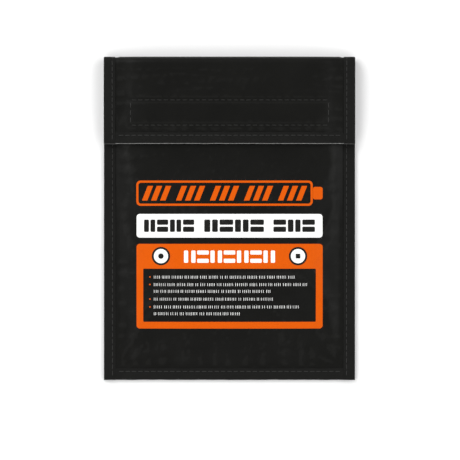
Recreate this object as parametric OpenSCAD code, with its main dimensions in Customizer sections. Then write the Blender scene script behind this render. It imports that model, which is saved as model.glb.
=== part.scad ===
// Flat charging and storage pouch for lithium polymer packs.
// It lies on its back panel: X runs across the bag, +Y points to the top fold
// and +Z is out of the front face. The origin is the middle of the resting face.
// All dimensions are in millimetres.

/* [Bag] */
// Finished width of the closed bag
bag_w = 175; // [165:5:240]
// Finished length, from the bottom seam to the top fold
bag_l = 225; // [215:5:300]
// Length of the flap, from the top fold to its free edge
flap_l = 60; // [54:1:66]
// Height of the relaxed pocket at its fullest
belly_h = 10; // [8:0.5:14]
// Height of the relaxed pocket at its mouth, under the flap
mouth_h = 6; // [5.5:0.5:8]

/* [Cloth] */
// Thickness of the coated outer cloth
shell_t = 0.5; // [0.4:0.05:0.6]
// Thickness of the woven lining
lining_t = 0.4; // [0.3:0.05:0.5]
// Thickness of the edge binding tape
tape_t = 0.5; // [0.4:0.05:0.6]
// Width of each leaf of the edge binding tape
tape_w = 8; // [7:0.5:9]

/* [Fastener] */
// Width of the hook strip and of the loop strip
strip_w = 20; // [18:1:24]
// Length of the two strips across the bag
strip_len = 140; // [100:5:150]
// Thickness of a strip's woven base
strip_base = 0.5; // [0.4:0.05:0.6]
// Height of the hooks or loops on the base
strip_pile = 0.7; // [0.5:0.05:0.9]
// Plain selvedge along each long edge of a strip
selvedge = 2.5; // [2:0.25:3]

/* [Stitching] */
// Distance from one stitch to the next
stitch_pitch = 4.4; // [4:0.2:6]
// Length of one stitch
stitch_len = 3.3; // [2:0.1:3.6]
// Width of the thread
thread_w = 0.6; // [0.4:0.1:0.8]
// Height that the thread stands above the cloth
thread_h = 0.25; // [0.15:0.05:0.3]

/* [Print] */
// Width of the printed block on the front
print_w = 130.4; // [110:0.2:134]
// Thickness of one pass of ink
ink_t = 0.1; // [0.08:0.01:0.12]

/* [Hidden] */
cloth_black = "#1d1d1b";
lining_grey = "#b9b6ac";
tape_black = "#232321";
thread_grey = "#55544f";
ink_orange = "#ef6307";
ink_white = "#f9f9f7";

gap = 0.1;                            // small clearance between sewn layers
run = 0.15;                           // clearance on each side of a crease
stack = shell_t + lining_t;           // lining and outer cloth together
hw = bag_w / 2;
hl = bag_l / 2;
edge_x = hw - tape_t;                 // cut edge of the panels at the sides
seam_x = hw - tape_w - 0.5;           // the pocket begins inside this line
ramp = 3;                             // width of the rise to the seam margin
edge_y = hl - tape_t;                 // cut edge of the panels at the bottom
seam_y = hl - tape_w - 0.5;
mouth_y = hl - 5;                     // cut edge of the front panel's mouth
flap_y = hl - flap_l;                 // free edge of the flap
strip_y = flap_y + tape_w + 3;        // lower edge of both strips
belly_y = -hl * 0.045;                // where the pocket is fullest
level_y = flap_y - 5;                 // the front is level from here to the mouth
off_root = gap + strip_base + strip_pile + 0.3 + strip_pile + strip_base + gap;
off_edge = off_root - 1.1;            // the flap's free edge lies closer
crease_y = hl - (tape_t + stack);     // both creases lie on this line
low_z = tape_t + stack;               // axis of the crease at the back panel
root_z = 2 * stack + mouth_h + off_root;
high_z = root_z - 0.05;               // axis of the crease at the flap

function clamp01(t) = min(1, max(0, t));
function mix(a, b, t) = a + (b - a) * t;
function ease(t) = t * t * (3 - 2 * t);

// Rise of the cloth over the leaf of the tape at the sides, and at the bottom
function side_rise(x) = tape_t * clamp01((abs(x) - seam_x + ramp) / ramp);
function rise(x, y) = max(side_rise(x), tape_t * clamp01((-y - seam_y + ramp) / ramp));

// Height of the pocket: an arch across, full at the belly, closed at the bottom.
// The two strips hold it nearly level at the mouth, so the arch is squarer there
function squareness(y) = mix(2.8, 10, ease(clamp01((y - belly_y) / (level_y - belly_y))));
function arch(x, y) = 1 - pow(min(1, abs(x) / seam_x), squareness(y));
function along(y) = y >= level_y ? mouth_h
    : y >= belly_y ? mix(belly_h, mouth_h, ease((y - belly_y) / (level_y - belly_y)))
    : y > -seam_y ? belly_h * (1 - pow((belly_y - y) / (belly_y + seam_y), 2.6))
    : 0;

function floor_z(x, y) = rise(x, y) + stack;
function front_z(x, y) = floor_z(x, y) + arch(x, y) * along(y);
function front_top(x, y) = front_z(x, y) + stack;
function flap_off(y) = mix(off_edge, off_root, clamp01((y - flap_y) / (strip_y - flap_y)));
// The flap follows the front over the strips, and beyond them it levels out
function flap_arch(x) = let (half = strip_len / 2, fall = squareness(hl) / seam_x * pow(half / seam_x, squareness(hl) - 1))
    arch(min(abs(x), half), hl) - fall * 6 * (1 - exp(-max(0, abs(x) - half) / 6));
function flap_z(x, y) = 2 * stack + mouth_h * flap_arch(x) + flap_off(y);
function flap_top(x, y) = flap_z(x, y) + stack;
function ink_lift(pass) = 0.2 + (pass - 1) * (ink_t + 0.15);

// Stations across and along the bag
half_x = concat([for (f = [0.165, 0.32, 0.46, 0.585, 0.70, 0.80, 0.885, 0.93]) f * seam_x],
    [seam_x - ramp, seam_x, edge_x]);
last = len(half_x) - 1;
xs = concat([for (i = [last : -1 : 0]) -half_x[i]], [0], half_x);
ys_front = concat([-edge_y, -seam_y, -seam_y + ramp],
    [for (f = [0.1, 0.22, 0.36, 0.52, 0.7, 0.86]) mix(-seam_y + ramp, belly_y, f)],
    [belly_y],
    [for (f = [0.14, 0.28, 0.42, 0.56, 0.70, 0.85]) mix(belly_y, level_y, f)],
    [level_y, mix(level_y, mouth_y, 0.5), mouth_y - 0.5]);
ys_flap = [flap_y + tape_t, flap_y + 4.5, strip_y, mix(strip_y, crease_y, 0.5), crease_y - run];

// A closed sheet between two height functions, over a grid of stations
module sheet(gx, gy, low, high) {
    nx = len(gx);
    ny = len(gy);
    n = nx * ny;
    function at(i, j, k) = k * n + j * nx + i;
    polyhedron(
        points = [for (k = [0, 1]) for (y = gy) for (x = gx) [x, y, k == 0 ? low(x, y) : high(x, y)]],
        faces = concat(
            [for (j = [0 : ny - 2]) for (i = [0 : nx - 2]) each [
                [at(i, j, 1), at(i, j + 1, 1), at(i + 1, j + 1, 1)],
                [at(i, j, 1), at(i + 1, j + 1, 1), at(i + 1, j, 1)],
                [at(i, j, 0), at(i + 1, j, 0), at(i + 1, j + 1, 0)],
                [at(i, j, 0), at(i + 1, j + 1, 0), at(i, j + 1, 0)]]],
            [for (i = [0 : nx - 2]) each [
                [at(i, 0, 0), at(i, 0, 1), at(i + 1, 0, 1)],
                [at(i, 0, 0), at(i + 1, 0, 1), at(i + 1, 0, 0)],
                [at(i, ny - 1, 0), at(i + 1, ny - 1, 1), at(i, ny - 1, 1)],
                [at(i, ny - 1, 0), at(i + 1, ny - 1, 0), at(i + 1, ny - 1, 1)]]],
            [for (j = [0 : ny - 2]) each [
                [at(0, j, 0), at(0, j + 1, 0), at(0, j + 1, 1)],
                [at(0, j, 0), at(0, j + 1, 1), at(0, j, 1)],
                [at(nx - 1, j, 0), at(nx - 1, j + 1, 1), at(nx - 1, j + 1, 0)],
                [at(nx - 1, j, 0), at(nx - 1, j, 1), at(nx - 1, j + 1, 1)]]]));
}

// A profile carried through a row of stations. caps lists the triangles of its ends
module loft(rings, caps, turn = false) {
    m = len(rings);
    n = len(rings[0]);
    function order(f) = turn ? [f[2], f[1], f[0]] : f;
    polyhedron(
        points = [for (r = rings) each r],
        faces = concat(
            [for (k = [0 : m - 2]) for (i = [0 : n - 1]) each [
                order([k * n + i, k * n + (i + 1) % n, (k + 1) * n + (i + 1) % n]),
                order([k * n + i, (k + 1) * n + (i + 1) % n, (k + 1) * n + i])]],
            [for (c = caps) order([c[2], c[1], c[0]])],
            [for (c = caps) order([(m - 1) * n + c[0], (m - 1) * n + c[1], (m - 1) * n + c[2]])]));
}

// Triangles of the ends of a folded tape, of a sewn strip and of a plain bar
tape_caps = [[0, 1, 6], [0, 6, 7], [1, 2, 5], [1, 5, 6], [2, 3, 4], [2, 4, 5]];
strip_caps = [[0, 1, 3], [0, 3, 6], [0, 6, 7], [1, 2, 3], [3, 4, 5], [3, 5, 6]];
bar_caps = [[0, 1, 2], [0, 2, 3]];

// Outline of a folded tape: inner edge of the leaves, fold, and the two faces it grips
module tape_outline(inner, fold, low, high) {
    s = fold > inner ? 1 : -1;
    polygon([[inner, low - tape_t], [fold, low - tape_t], [fold, high + tape_t], [inner, high + tape_t],
        [inner, high], [fold - s * tape_t, high], [fold - s * tape_t, low], [inner, low]]);
}

// A row of stitches along Y, flat on a leaf of tape
module stitches_y(x, y0, y1, z) {
    n = floor((y1 - y0) / stitch_pitch);
    for (i = [0 : n - 1])
        translate([x - thread_w / 2, mix(y0, y1, (i + 0.5) / n) - stitch_len / 2, z(x, mix(y0, y1, (i + 0.5) / n))])
            cube([thread_w, stitch_len, thread_h]);
}

// A row of stitches along X, each tilted to lie on the arch
module stitches_x(x0, x1, y, z) {
    n = floor((x1 - x0) / stitch_pitch);
    for (i = [0 : n - 1]) {
        x = mix(x0, x1, (i + 0.5) / n);
        translate([x, y, z(x, y)])
            rotate([0, -atan((z(x + 1, y) - z(x - 1, y)) / 2), 0])
                translate([-stitch_len / 2, -thread_w / 2, 0])
                    cube([stitch_len, thread_w, thread_h]);
    }
}

// An area of ink on the front panel, on the given pass
module ink(x0, x1, y0, y1, pass) {
    nx = max(1, ceil((x1 - x0) / 8));
    ny = max(1, ceil((y1 - y0) / 8));
    sheet([for (i = [0 : nx]) mix(x0, x1, i / nx)], [for (j = [0 : ny]) mix(y0, y1, j / ny)],
        function (x, y) front_top(x, y) + ink_lift(pass), function (x, y) front_top(x, y) + ink_lift(pass) + ink_t);
}

// A round spot of ink on the front panel
module ink_disc(x, y, r, pass) {
    n = 24;
    z = ink_lift(pass);
    ring = [for (i = [0 : n - 1]) [x + r * cos(360 * i / n), y + r * sin(360 * i / n)]];
    polyhedron(
        points = concat([[x, y, front_top(x, y) + z], [x, y, front_top(x, y) + z + ink_t]],
            [for (p = ring) [p.x, p.y, front_top(p.x, p.y) + z]],
            [for (p = ring) [p.x, p.y, front_top(p.x, p.y) + z + ink_t]]),
        faces = [for (i = [0 : n - 1]) let (b0 = 2 + i, b1 = 2 + (i + 1) % n, t0 = b0 + n, t1 = b1 + n)
            each [[1, t1, t0], [0, b0, b1], [b0, t0, t1], [b0, t1, b1]]]);
}

// ---- pouch ----

module back_panel() {
    color(cloth_black) {
        sheet([-edge_x, -seam_x, -seam_x + ramp, seam_x - ramp, seam_x, edge_x],
            [-edge_y, -seam_y, -seam_y + ramp, crease_y - run],
            function (x, y) rise(x, y), function (x, y) rise(x, y) + shell_t);
        translate([-seam_x + ramp + 1, -seam_y + ramp + 1, 0])
            cube([2 * (seam_x - ramp - 1), crease_y - run + seam_y - ramp - 2, shell_t]);
    }
}

module back_lining() {
    color(lining_grey)
        sheet([-edge_x, -seam_x, -seam_x + ramp, seam_x - ramp, seam_x, edge_x],
            [-edge_y, -seam_y, -seam_y + ramp, crease_y - run],
            function (x, y) rise(x, y) + shell_t, function (x, y) rise(x, y) + stack);
}

module front_lining() {
    color(lining_grey)
        sheet(xs, ys_front, function (x, y) front_z(x, y), function (x, y) front_z(x, y) + lining_t);
}

module front_panel() {
    color(cloth_black)
        sheet(xs, ys_front, function (x, y) front_z(x, y) + lining_t, function (x, y) front_top(x, y));
}

module side_binding(s) {
    color(tape_black)
        rotate([90, 0, 0])
            translate([0, 0, -(crease_y - tape_t - run)])
                linear_extrude(height = crease_y - tape_t - run + hl)
                    tape_outline(s * (hw - tape_w), s * hw, tape_t, tape_t + 2 * stack);
}

module left_side_binding() side_binding(-1);
module right_side_binding() side_binding(1);

module bottom_binding() {
    reach = hw - tape_w - gap;
    color(tape_black)
        translate([-reach, 0, 0])
            rotate([90, 0, 90])
                linear_extrude(height = 2 * reach)
                    tape_outline(-hl + tape_w, -hl, tape_t, tape_t + 2 * stack);
}

module mouth_binding() {
    stations = [for (x = xs) if (abs(x) < seam_x - ramp + 0.1) x];
    inner = mouth_y - tape_w;
    color(tape_black)
        loft([for (x = stations) [
            [x, inner, front_z(x, inner) - gap - tape_t], [x, mouth_y, front_z(x, mouth_y) - gap - tape_t],
            [x, mouth_y, front_top(x, mouth_y) + gap + tape_t], [x, inner, front_top(x, inner) + gap + tape_t],
            [x, inner, front_top(x, inner) + gap], [x, mouth_y - tape_t + 0.05, front_top(x, mouth_y) + gap],
            [x, mouth_y - tape_t + 0.05, front_z(x, mouth_y) - gap], [x, inner, front_z(x, inner) - gap]]],
            tape_caps, turn = true);
}

// A sewn strip on a surface: side = 1 with its pile up, -1 with its pile down
module strip(side, z) {
    stations = concat([-strip_len / 2], [for (x = xs) if (abs(x) < strip_len / 2 - 1) x], [strip_len / 2]);
    y0 = strip_y;
    y1 = strip_y + strip_w;
    h1 = side * strip_base;
    h2 = side * (strip_base + strip_pile);
    loft([for (x = stations) [
        [x, y0, z(x, y0)], [x, y1, z(x, y1)], [x, y1, z(x, y1) + h1], [x, y1 - selvedge, z(x, y1) + h1],
        [x, y1 - selvedge, z(x, y1) + h2], [x, y0 + selvedge, z(x, y0) + h2],
        [x, y0 + selvedge, z(x, y0) + h1], [x, y0, z(x, y0) + h1]]],
        strip_caps, turn = side > 0);
}

module loop_strip() {
    color("#2a2a28") strip(1, function (x, y) front_top(x, y) + gap);
}

module loop_strip_stitching() {
    z = function (x, y) front_top(x, y) + gap + strip_base + 0.04;
    reach = strip_len / 2 - 2;
    color(thread_grey) {
        stitches_x(-reach, reach, strip_y + selvedge / 2, z);
        stitches_x(-reach, reach, strip_y + strip_w - selvedge / 2, z);
    }
}

module side_seam_stitching() {
    z = function (x, y) 2 * tape_t + 2 * stack;
    color(thread_grey)
        for (s = [-1, 1])
            stitches_y(s * (hw - tape_w + 2), -hl + 2, crease_y - 2, z);
}

module bottom_seam_stitching() {
    z = function (x, y) 2 * tape_t + 2 * stack;
    reach = hw - tape_w - 1;
    color(thread_grey) stitches_x(-reach, reach, -hl + tape_w - 2, z);
}

module mouth_stitching() {
    z = function (x, y) front_top(x, y) + gap + tape_t + 0.04;
    reach = seam_x - ramp - 1;
    color(thread_grey) stitches_x(-reach, reach, mouth_y - tape_w + 2, z);
}

module print_orange() {
    hp = print_w / 2;
    color(ink_orange) {
        // battery symbol: outline, terminal and charge bars
        for (y = [8.8, 24.4]) ink(-hp, hp - 7, y, y + 2.2, 1);
        for (x = [-hp, hp - 9.2]) ink(x, x + 2.2, 11.1, 24.3, 1);
        ink(hp - 6.9, hp, 13.2, 22.2, 1);
        for (i = [0 : 4]) ink(-hp + 3.9 + i * 23.76, -hp + 3.9 + i * 23.76 + 20.5, 12.6, 22.8, 1);
        // notice panel, a frame of ink round bare cloth, and the dots beside its lines
        ink(-hp, hp, -34.9, -17.4, 1);
        ink(-hp, hp, -77.1, -71.7, 1);
        for (s = [-1, 1]) ink(s * (hp - 2.75) - 2.75, s * (hp - 2.75) + 2.75, -71.6, -35, 1);
        for (y = [-40.5, -45.8, -56, -61.6]) ink(-56.1, -54.9, y - 0.6, y + 0.6, 3);
    }
}

module print_white() {
    hp = print_w / 2;
    color(ink_white) {
        ink(-hp, hp, -13.7, 3.7, 1);
        ink(-31.8, 31.8, -30.6, -22.4, 2);
        for (s = [-1, 1]) ink_disc(s * 47.8, -26.2, 5.7, 3);
        for (r = [[-40.5, 46.8], [-45.8, 54.2], [-50.6, 30.2], [-56, 31.7], [-61.6, 49], [-66.3, 8.7]])
            ink(-52.9, r[1], r[0] - 1, r[0] + 1, 3);
    }
}

module print_black() {
    color(cloth_black) {
        for (r = [[-59.6, -25], [-18.5, 23.5], [30, 59.6]]) ink(r[0], r[1], -9.4, -0.8, 2);
        for (s = [-1, 1]) ink_disc(s * 47.8, -26.2, 6.5, 2);
    }
}

// ---- top fold ----

function fold_high(x) = flap_z(x, crease_y) - tape_t - run;

module fold_layer(y0, y1) {
    loft([for (x = xs) let (b = side_rise(x)) [
        [x, y0 - b, low_z + run], [x, y1 - b, low_z + run], [x, y1 - b, fold_high(x)], [x, y0 - b, fold_high(x)]]],
        bar_caps, turn = true);
}

module fold_panel() {
    color(cloth_black) fold_layer(hl - shell_t, hl);
}

module fold_lining() {
    color(lining_grey) fold_layer(hl - stack, hl - shell_t);
}

module fold_binding(s) {
    color(tape_black)
        translate([0, 0, low_z + run])
            linear_extrude(height = fold_high(hw) - low_z - run)
                mirror([s < 0 ? 1 : 0, 0, 0])
                    polygon([[hw - tape_w, crease_y - tape_t], [hw, crease_y - tape_t], [hw, hl], [hw - tape_w, hl],
                        [hw - tape_w, hl - tape_t], [edge_x, hl - tape_t], [edge_x, crease_y], [hw - tape_w, crease_y]]);
}

module fold_left_binding() fold_binding(-1);
module fold_right_binding() fold_binding(1);

// ---- flap ----

module flap_lining() {
    color(lining_grey)
        sheet(xs, ys_flap, function (x, y) flap_z(x, y), function (x, y) flap_z(x, y) + lining_t);
}

module flap_panel() {
    color(cloth_black)
        sheet(xs, ys_flap, function (x, y) flap_z(x, y) + lining_t, function (x, y) flap_top(x, y));
}

module flap_side_binding(s) {
    inner = s * (hw - tape_w);
    fold = s * hw;
    cut = s * (edge_x + 0.05);
    color(tape_black)
        loft([for (y = [flap_y, strip_y, crease_y - run])
            let (lo = flap_z(hw, y) - gap, hi = lo + stack + 2 * gap, step = flap_z(inner, y) - flap_z(hw, y)) [
            [inner, y, lo + step - tape_t], [fold, y, lo - tape_t], [fold, y, hi + tape_t], [inner, y, hi + step + tape_t],
            [inner, y, hi + step], [cut, y, hi], [cut, y, lo], [inner, y, lo + step]]],
            tape_caps, turn = s < 0);
}

module flap_left_binding() flap_side_binding(-1);
module flap_right_binding() flap_side_binding(1);

module flap_edge_binding() {
    stations = concat([-(hw - tape_w - gap)], [for (x = xs) if (abs(x) < seam_x + 0.1) x], [hw - tape_w - gap]);
    inner = flap_y + tape_w;
    cut = flap_y + tape_t - 0.05;
    color(tape_black)
        loft([for (x = stations) [
            [x, inner, flap_z(x, inner) - gap - tape_t], [x, flap_y, flap_z(x, flap_y) - gap - tape_t],
            [x, flap_y, flap_top(x, flap_y) + gap + tape_t], [x, inner, flap_top(x, inner) + gap + tape_t],
            [x, inner, flap_top(x, inner) + gap], [x, cut, flap_top(x, cut) + gap],
            [x, cut, flap_z(x, cut) - gap], [x, inner, flap_z(x, inner) - gap]]],
            tape_caps);
}

module hook_strip() {
    color("#2a2a28") strip(-1, function (x, y) flap_z(x, y) - gap);
}

module hook_strip_stitching() {
    z = function (x, y) flap_top(x, y) + 0.04;
    reach = strip_len / 2 - 2;
    color(thread_grey) {
        stitches_x(-reach, reach, strip_y + selvedge / 2, z);
        stitches_x(-reach, reach, strip_y + strip_w - selvedge / 2, z);
    }
}

module flap_edge_stitching() {
    top = function (x, y) flap_top(x, y) + gap + tape_t + 0.04 + 0.12 * clamp01((abs(x) - strip_len / 2 + 6) / 4);
    color(thread_grey) {
        stitches_x(-(hw - tape_w - 1), hw - tape_w - 1, flap_y + tape_w - 2, top);
        for (s = [-1, 1])
            stitches_y(s * (hw - tape_w + 2), strip_y + 1, crease_y - 2, top);
    }
}

back_panel();
back_lining();
front_lining();
front_panel();
left_side_binding();
right_side_binding();
bottom_binding();
mouth_binding();
loop_strip();
loop_strip_stitching();
side_seam_stitching();
bottom_seam_stitching();
mouth_stitching();
print_orange();
print_white();
print_black();
fold_panel();
fold_lining();
fold_left_binding();
fold_right_binding();
flap_lining();
flap_panel();
flap_left_binding();
flap_right_binding();
flap_edge_binding();
hook_strip();
hook_strip_stitching();
flap_edge_stitching();
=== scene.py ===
import math

import bpy
import numpy as np
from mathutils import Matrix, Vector


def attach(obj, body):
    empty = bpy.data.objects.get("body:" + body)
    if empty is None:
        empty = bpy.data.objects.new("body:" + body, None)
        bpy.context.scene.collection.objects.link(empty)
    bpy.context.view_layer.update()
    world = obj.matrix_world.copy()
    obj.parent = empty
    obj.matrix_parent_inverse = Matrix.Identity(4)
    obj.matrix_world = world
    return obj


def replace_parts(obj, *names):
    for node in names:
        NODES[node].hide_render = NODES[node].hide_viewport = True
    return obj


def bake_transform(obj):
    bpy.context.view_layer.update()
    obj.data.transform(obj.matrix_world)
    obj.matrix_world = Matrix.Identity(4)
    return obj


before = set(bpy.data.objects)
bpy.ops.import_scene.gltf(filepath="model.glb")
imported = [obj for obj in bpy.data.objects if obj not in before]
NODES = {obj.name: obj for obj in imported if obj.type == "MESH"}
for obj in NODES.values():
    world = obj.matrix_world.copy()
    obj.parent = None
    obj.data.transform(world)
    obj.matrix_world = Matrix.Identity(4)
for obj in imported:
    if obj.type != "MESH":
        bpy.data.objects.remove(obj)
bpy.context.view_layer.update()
MM = 0.001

# ---------------------------------------------------------------------------
# Sizes, in millimetres. They repeat the CAD model's own rules.
# ---------------------------------------------------------------------------
HW, HL = 87.5, 112.5
SHELL, LINING, TAPE, TAPE_W = 0.5, 0.4, 0.5, 8.0
STACK = SHELL + LINING
SEAM_X, SEAM_Y, RAMP = 79.0, 104.0, 3.0
EDGE_X, EDGE_Y = 87.0, 112.0
MOUTH_Y, FLAP_Y, STRIP_Y = 107.5, 51.75, 63.5
STRIP_W, STRIP_HALF = 20.0, 70.0
BELLY_Y, LEVEL_Y = -112.5 * 0.045, 47.5
BELLY_H, MOUTH_H = 10.0, 6.0
OFF_ROOT, OFF_EDGE = 2.9, 1.8
CREASE_Y, LOW_Z, HIGH_Z = 111.1, 1.4, 10.65
ROUND = 4.75                      # radius of the cloth's bend at each crease
PITCH, STITCH = 4.4, 3.7


def clamp01(t):
    return np.clip(t, 0.0, 1.0)


def mix(a, b, t):
    return a + (b - a) * t


def ease(t):
    t = clamp01(t)
    return t * t * (3 - 2 * t)


def side_rise(x):
    return TAPE * ease((np.abs(x) - SEAM_X + RAMP) / RAMP)


def rise(x, y):
    return np.maximum(side_rise(x), TAPE * ease((-y - SEAM_Y + RAMP) / RAMP))


def squareness(y):
    return mix(2.8, 10.0, ease((y - BELLY_Y) / (LEVEL_Y - BELLY_Y)))


def arch(x, y):
    return 1 - np.minimum(1, np.abs(x) / SEAM_X) ** squareness(y)


def along(y):
    y = np.asarray(y, float)
    up = mix(BELLY_H, MOUTH_H, ease((y - BELLY_Y) / (LEVEL_Y - BELLY_Y)))
    low = BELLY_H * (1 - np.clip((BELLY_Y - y) / (BELLY_Y + SEAM_Y), 0, 1) ** 2.6)
    return np.where(y >= BELLY_Y, up, low)


def flap_arch(x):
    n = squareness(np.array(HL))
    fall = n / SEAM_X * (STRIP_HALF / SEAM_X) ** (n - 1)
    return arch(np.minimum(np.abs(x), STRIP_HALF), np.array(HL)) - fall * 6 * (
        1 - np.exp(-np.maximum(0, np.abs(x) - STRIP_HALF) / 6))


def flap_off(y):
    return mix(OFF_EDGE, OFF_ROOT, ease((y - FLAP_Y) / (STRIP_Y - FLAP_Y)))


# ---------------------------------------------------------------------------
# Seeded smooth noise
# ---------------------------------------------------------------------------
TABLES = {}


def noise2(x, y, seed):
    """Smooth gradient noise, about -1 to 1, the same on every run."""
    if seed not in TABLES:
        rng = np.random.default_rng(seed)
        perm = rng.permutation(256)
        ang = rng.random(256) * 2 * np.pi
        TABLES[seed] = np.concatenate([perm, perm]), np.cos(ang), np.sin(ang)
    perm, gx, gy = TABLES[seed]
    x, y = np.broadcast_arrays(np.asarray(x, float), np.asarray(y, float))
    xi, yi = np.floor(x).astype(int), np.floor(y).astype(int)
    xf, yf = x - xi, y - yi
    u, v = xf ** 3 * (xf * (xf * 6 - 15) + 10), yf ** 3 * (yf * (yf * 6 - 15) + 10)

    def g(ix, iy, dx, dy):
        h = perm[perm[ix & 255] + (iy & 255)]
        return gx[h] * dx + gy[h] * dy

    a = g(xi, yi, xf, yf)
    b = g(xi + 1, yi, xf - 1, yf)
    c = g(xi, yi + 1, xf, yf - 1)
    d = g(xi + 1, yi + 1, xf - 1, yf - 1)
    return 1.5 * (a + u * (b - a) + v * (c - a) + u * v * (a - b - c + d))


def ridged(x, y, seed):
    """Creases: sharp crests with soft hollows between them, 0 to 1."""
    return (1 - np.abs(noise2(x, y, seed))) ** 3


def turned(x, y, deg, sx, sy):
    """Coordinates along and across a direction, for streaks that run along it."""
    c, s = math.cos(math.radians(deg)), math.sin(math.radians(deg))
    return (x * c + y * s) / sx, (-x * s + y * c) / sy


# ---------------------------------------------------------------------------
# The front panel as simulated cloth: held along all four edges, a little long
# for its frame, settling over a smooth pillow shape (ten times life size)
# ---------------------------------------------------------------------------
def settle_front(step=3.0, grow=0.004, frames=28, drop=0.8, scale=10.0):
    nx = int(round(2 * SEAM_X / step)) + 1
    ny = int(round((MOUTH_Y - 0.5 + SEAM_Y) / step)) + 1
    xs, ys = np.linspace(-SEAM_X, SEAM_X, nx), np.linspace(-SEAM_Y, MOUTH_Y - 0.5, ny)
    gx, gy = np.meshgrid(xs, ys, indexing="ij")
    base = arch(gx, gy) * along(gy)
    inner = np.minimum(np.minimum(SEAM_X - np.abs(gx), gy + SEAM_Y), MOUTH_Y - 0.5 - gy)
    quads = [(i * ny + j, (i + 1) * ny + j, (i + 1) * ny + j + 1, i * ny + j + 1)
             for i in range(nx - 1) for j in range(ny - 1)]

    def body(name, z):
        me = bpy.data.meshes.new(name)
        me.from_pydata((np.stack([gx, gy, z], 2).reshape(-1, 3) * MM * scale).tolist(), [], quads)
        made = bpy.data.objects.new(name, me)
        bpy.context.scene.collection.objects.link(made)
        return made

    below = base - drop * clamp01(inner / 6) - 0.25
    pillow = body("pillow_under_front", below)
    pillow.modifiers.new("Collision", "COLLISION")
    pillow.collision.thickness_outer = 0.001
    pillow.collision.cloth_friction = 8
    sheet = body("front_while_settling", base + 0.5 * noise2(gx / 24, gy / 24, 7) * clamp01(inner / 12))
    pins = sheet.vertex_groups.new(name="sewn")
    pins.add([int(i) for i in np.nonzero((inner < 0.01).ravel())[0]], 1.0, "REPLACE")
    mod = sheet.modifiers.new("Cloth", "CLOTH")
    c = mod.settings
    c.quality, c.mass = 6, 0.35
    c.tension_stiffness = c.compression_stiffness = c.shear_stiffness = 60
    c.bending_stiffness = 26
    c.tension_damping = c.compression_damping = c.shear_damping = 12
    c.bending_damping, c.air_damping = 1.0, 3
    c.shrink_min = c.shrink_max = -grow
    c.vertex_group_mass = "sewn"
    mod.collision_settings.distance_min = 0.002
    mod.collision_settings.collision_quality = 3
    mod.collision_settings.use_self_collision = False
    mod.point_cache.frame_start, mod.point_cache.frame_end = 1, frames + 2
    scene = bpy.context.scene
    before = scene.frame_current
    scene.frame_start, scene.frame_end = 1, frames + 2
    for f in range(1, frames + 1):
        scene.frame_set(f)
    shaped = sheet.evaluated_get(bpy.context.evaluated_depsgraph_get())
    me = shaped.to_mesh()
    co = np.zeros(len(me.vertices) * 3)
    me.vertices.foreach_get("co", co)
    shaped.to_mesh_clear()
    z = co.reshape(nx, ny, 3)[..., 2] / (MM * scale)
    for made in (sheet, pillow):
        me = made.data
        bpy.data.objects.remove(made)
        bpy.data.meshes.remove(me)
    scene.frame_set(before)
    lift = np.clip(np.nan_to_num(z - below), 0, 3.2)
    return xs, ys, lift


def cubic(f):
    return (np.stack([-0.5 * f + f ** 2 - 0.5 * f ** 3, 1 - 2.5 * f ** 2 + 1.5 * f ** 3,
                      0.5 * f + 2 * f ** 2 - 1.5 * f ** 3, -0.5 * f ** 2 + 0.5 * f ** 3]))


def settled(x, y):
    """Height of the settled cloth above what it lies on, read smoothly between its points."""
    xs, ys, lift = SETTLED
    u = np.clip((x - xs[0]) / (xs[1] - xs[0]), 0, len(xs) - 1.001)
    v = np.clip((y - ys[0]) / (ys[1] - ys[0]), 0, len(ys) - 1.001)
    i, j = np.floor(u).astype(int), np.floor(v).astype(int)
    wu, wv = cubic(u - i), cubic(v - j)
    total = 0
    for a in range(4):
        row = 0
        for b_ in range(4):
            row = row + wv[b_] * lift[np.clip(i + a - 1, 0, len(xs) - 1), np.clip(j + b_ - 1, 0, len(ys) - 1)]
        total = total + wu[a] * row
    return total


SETTLED = settle_front()


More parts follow.
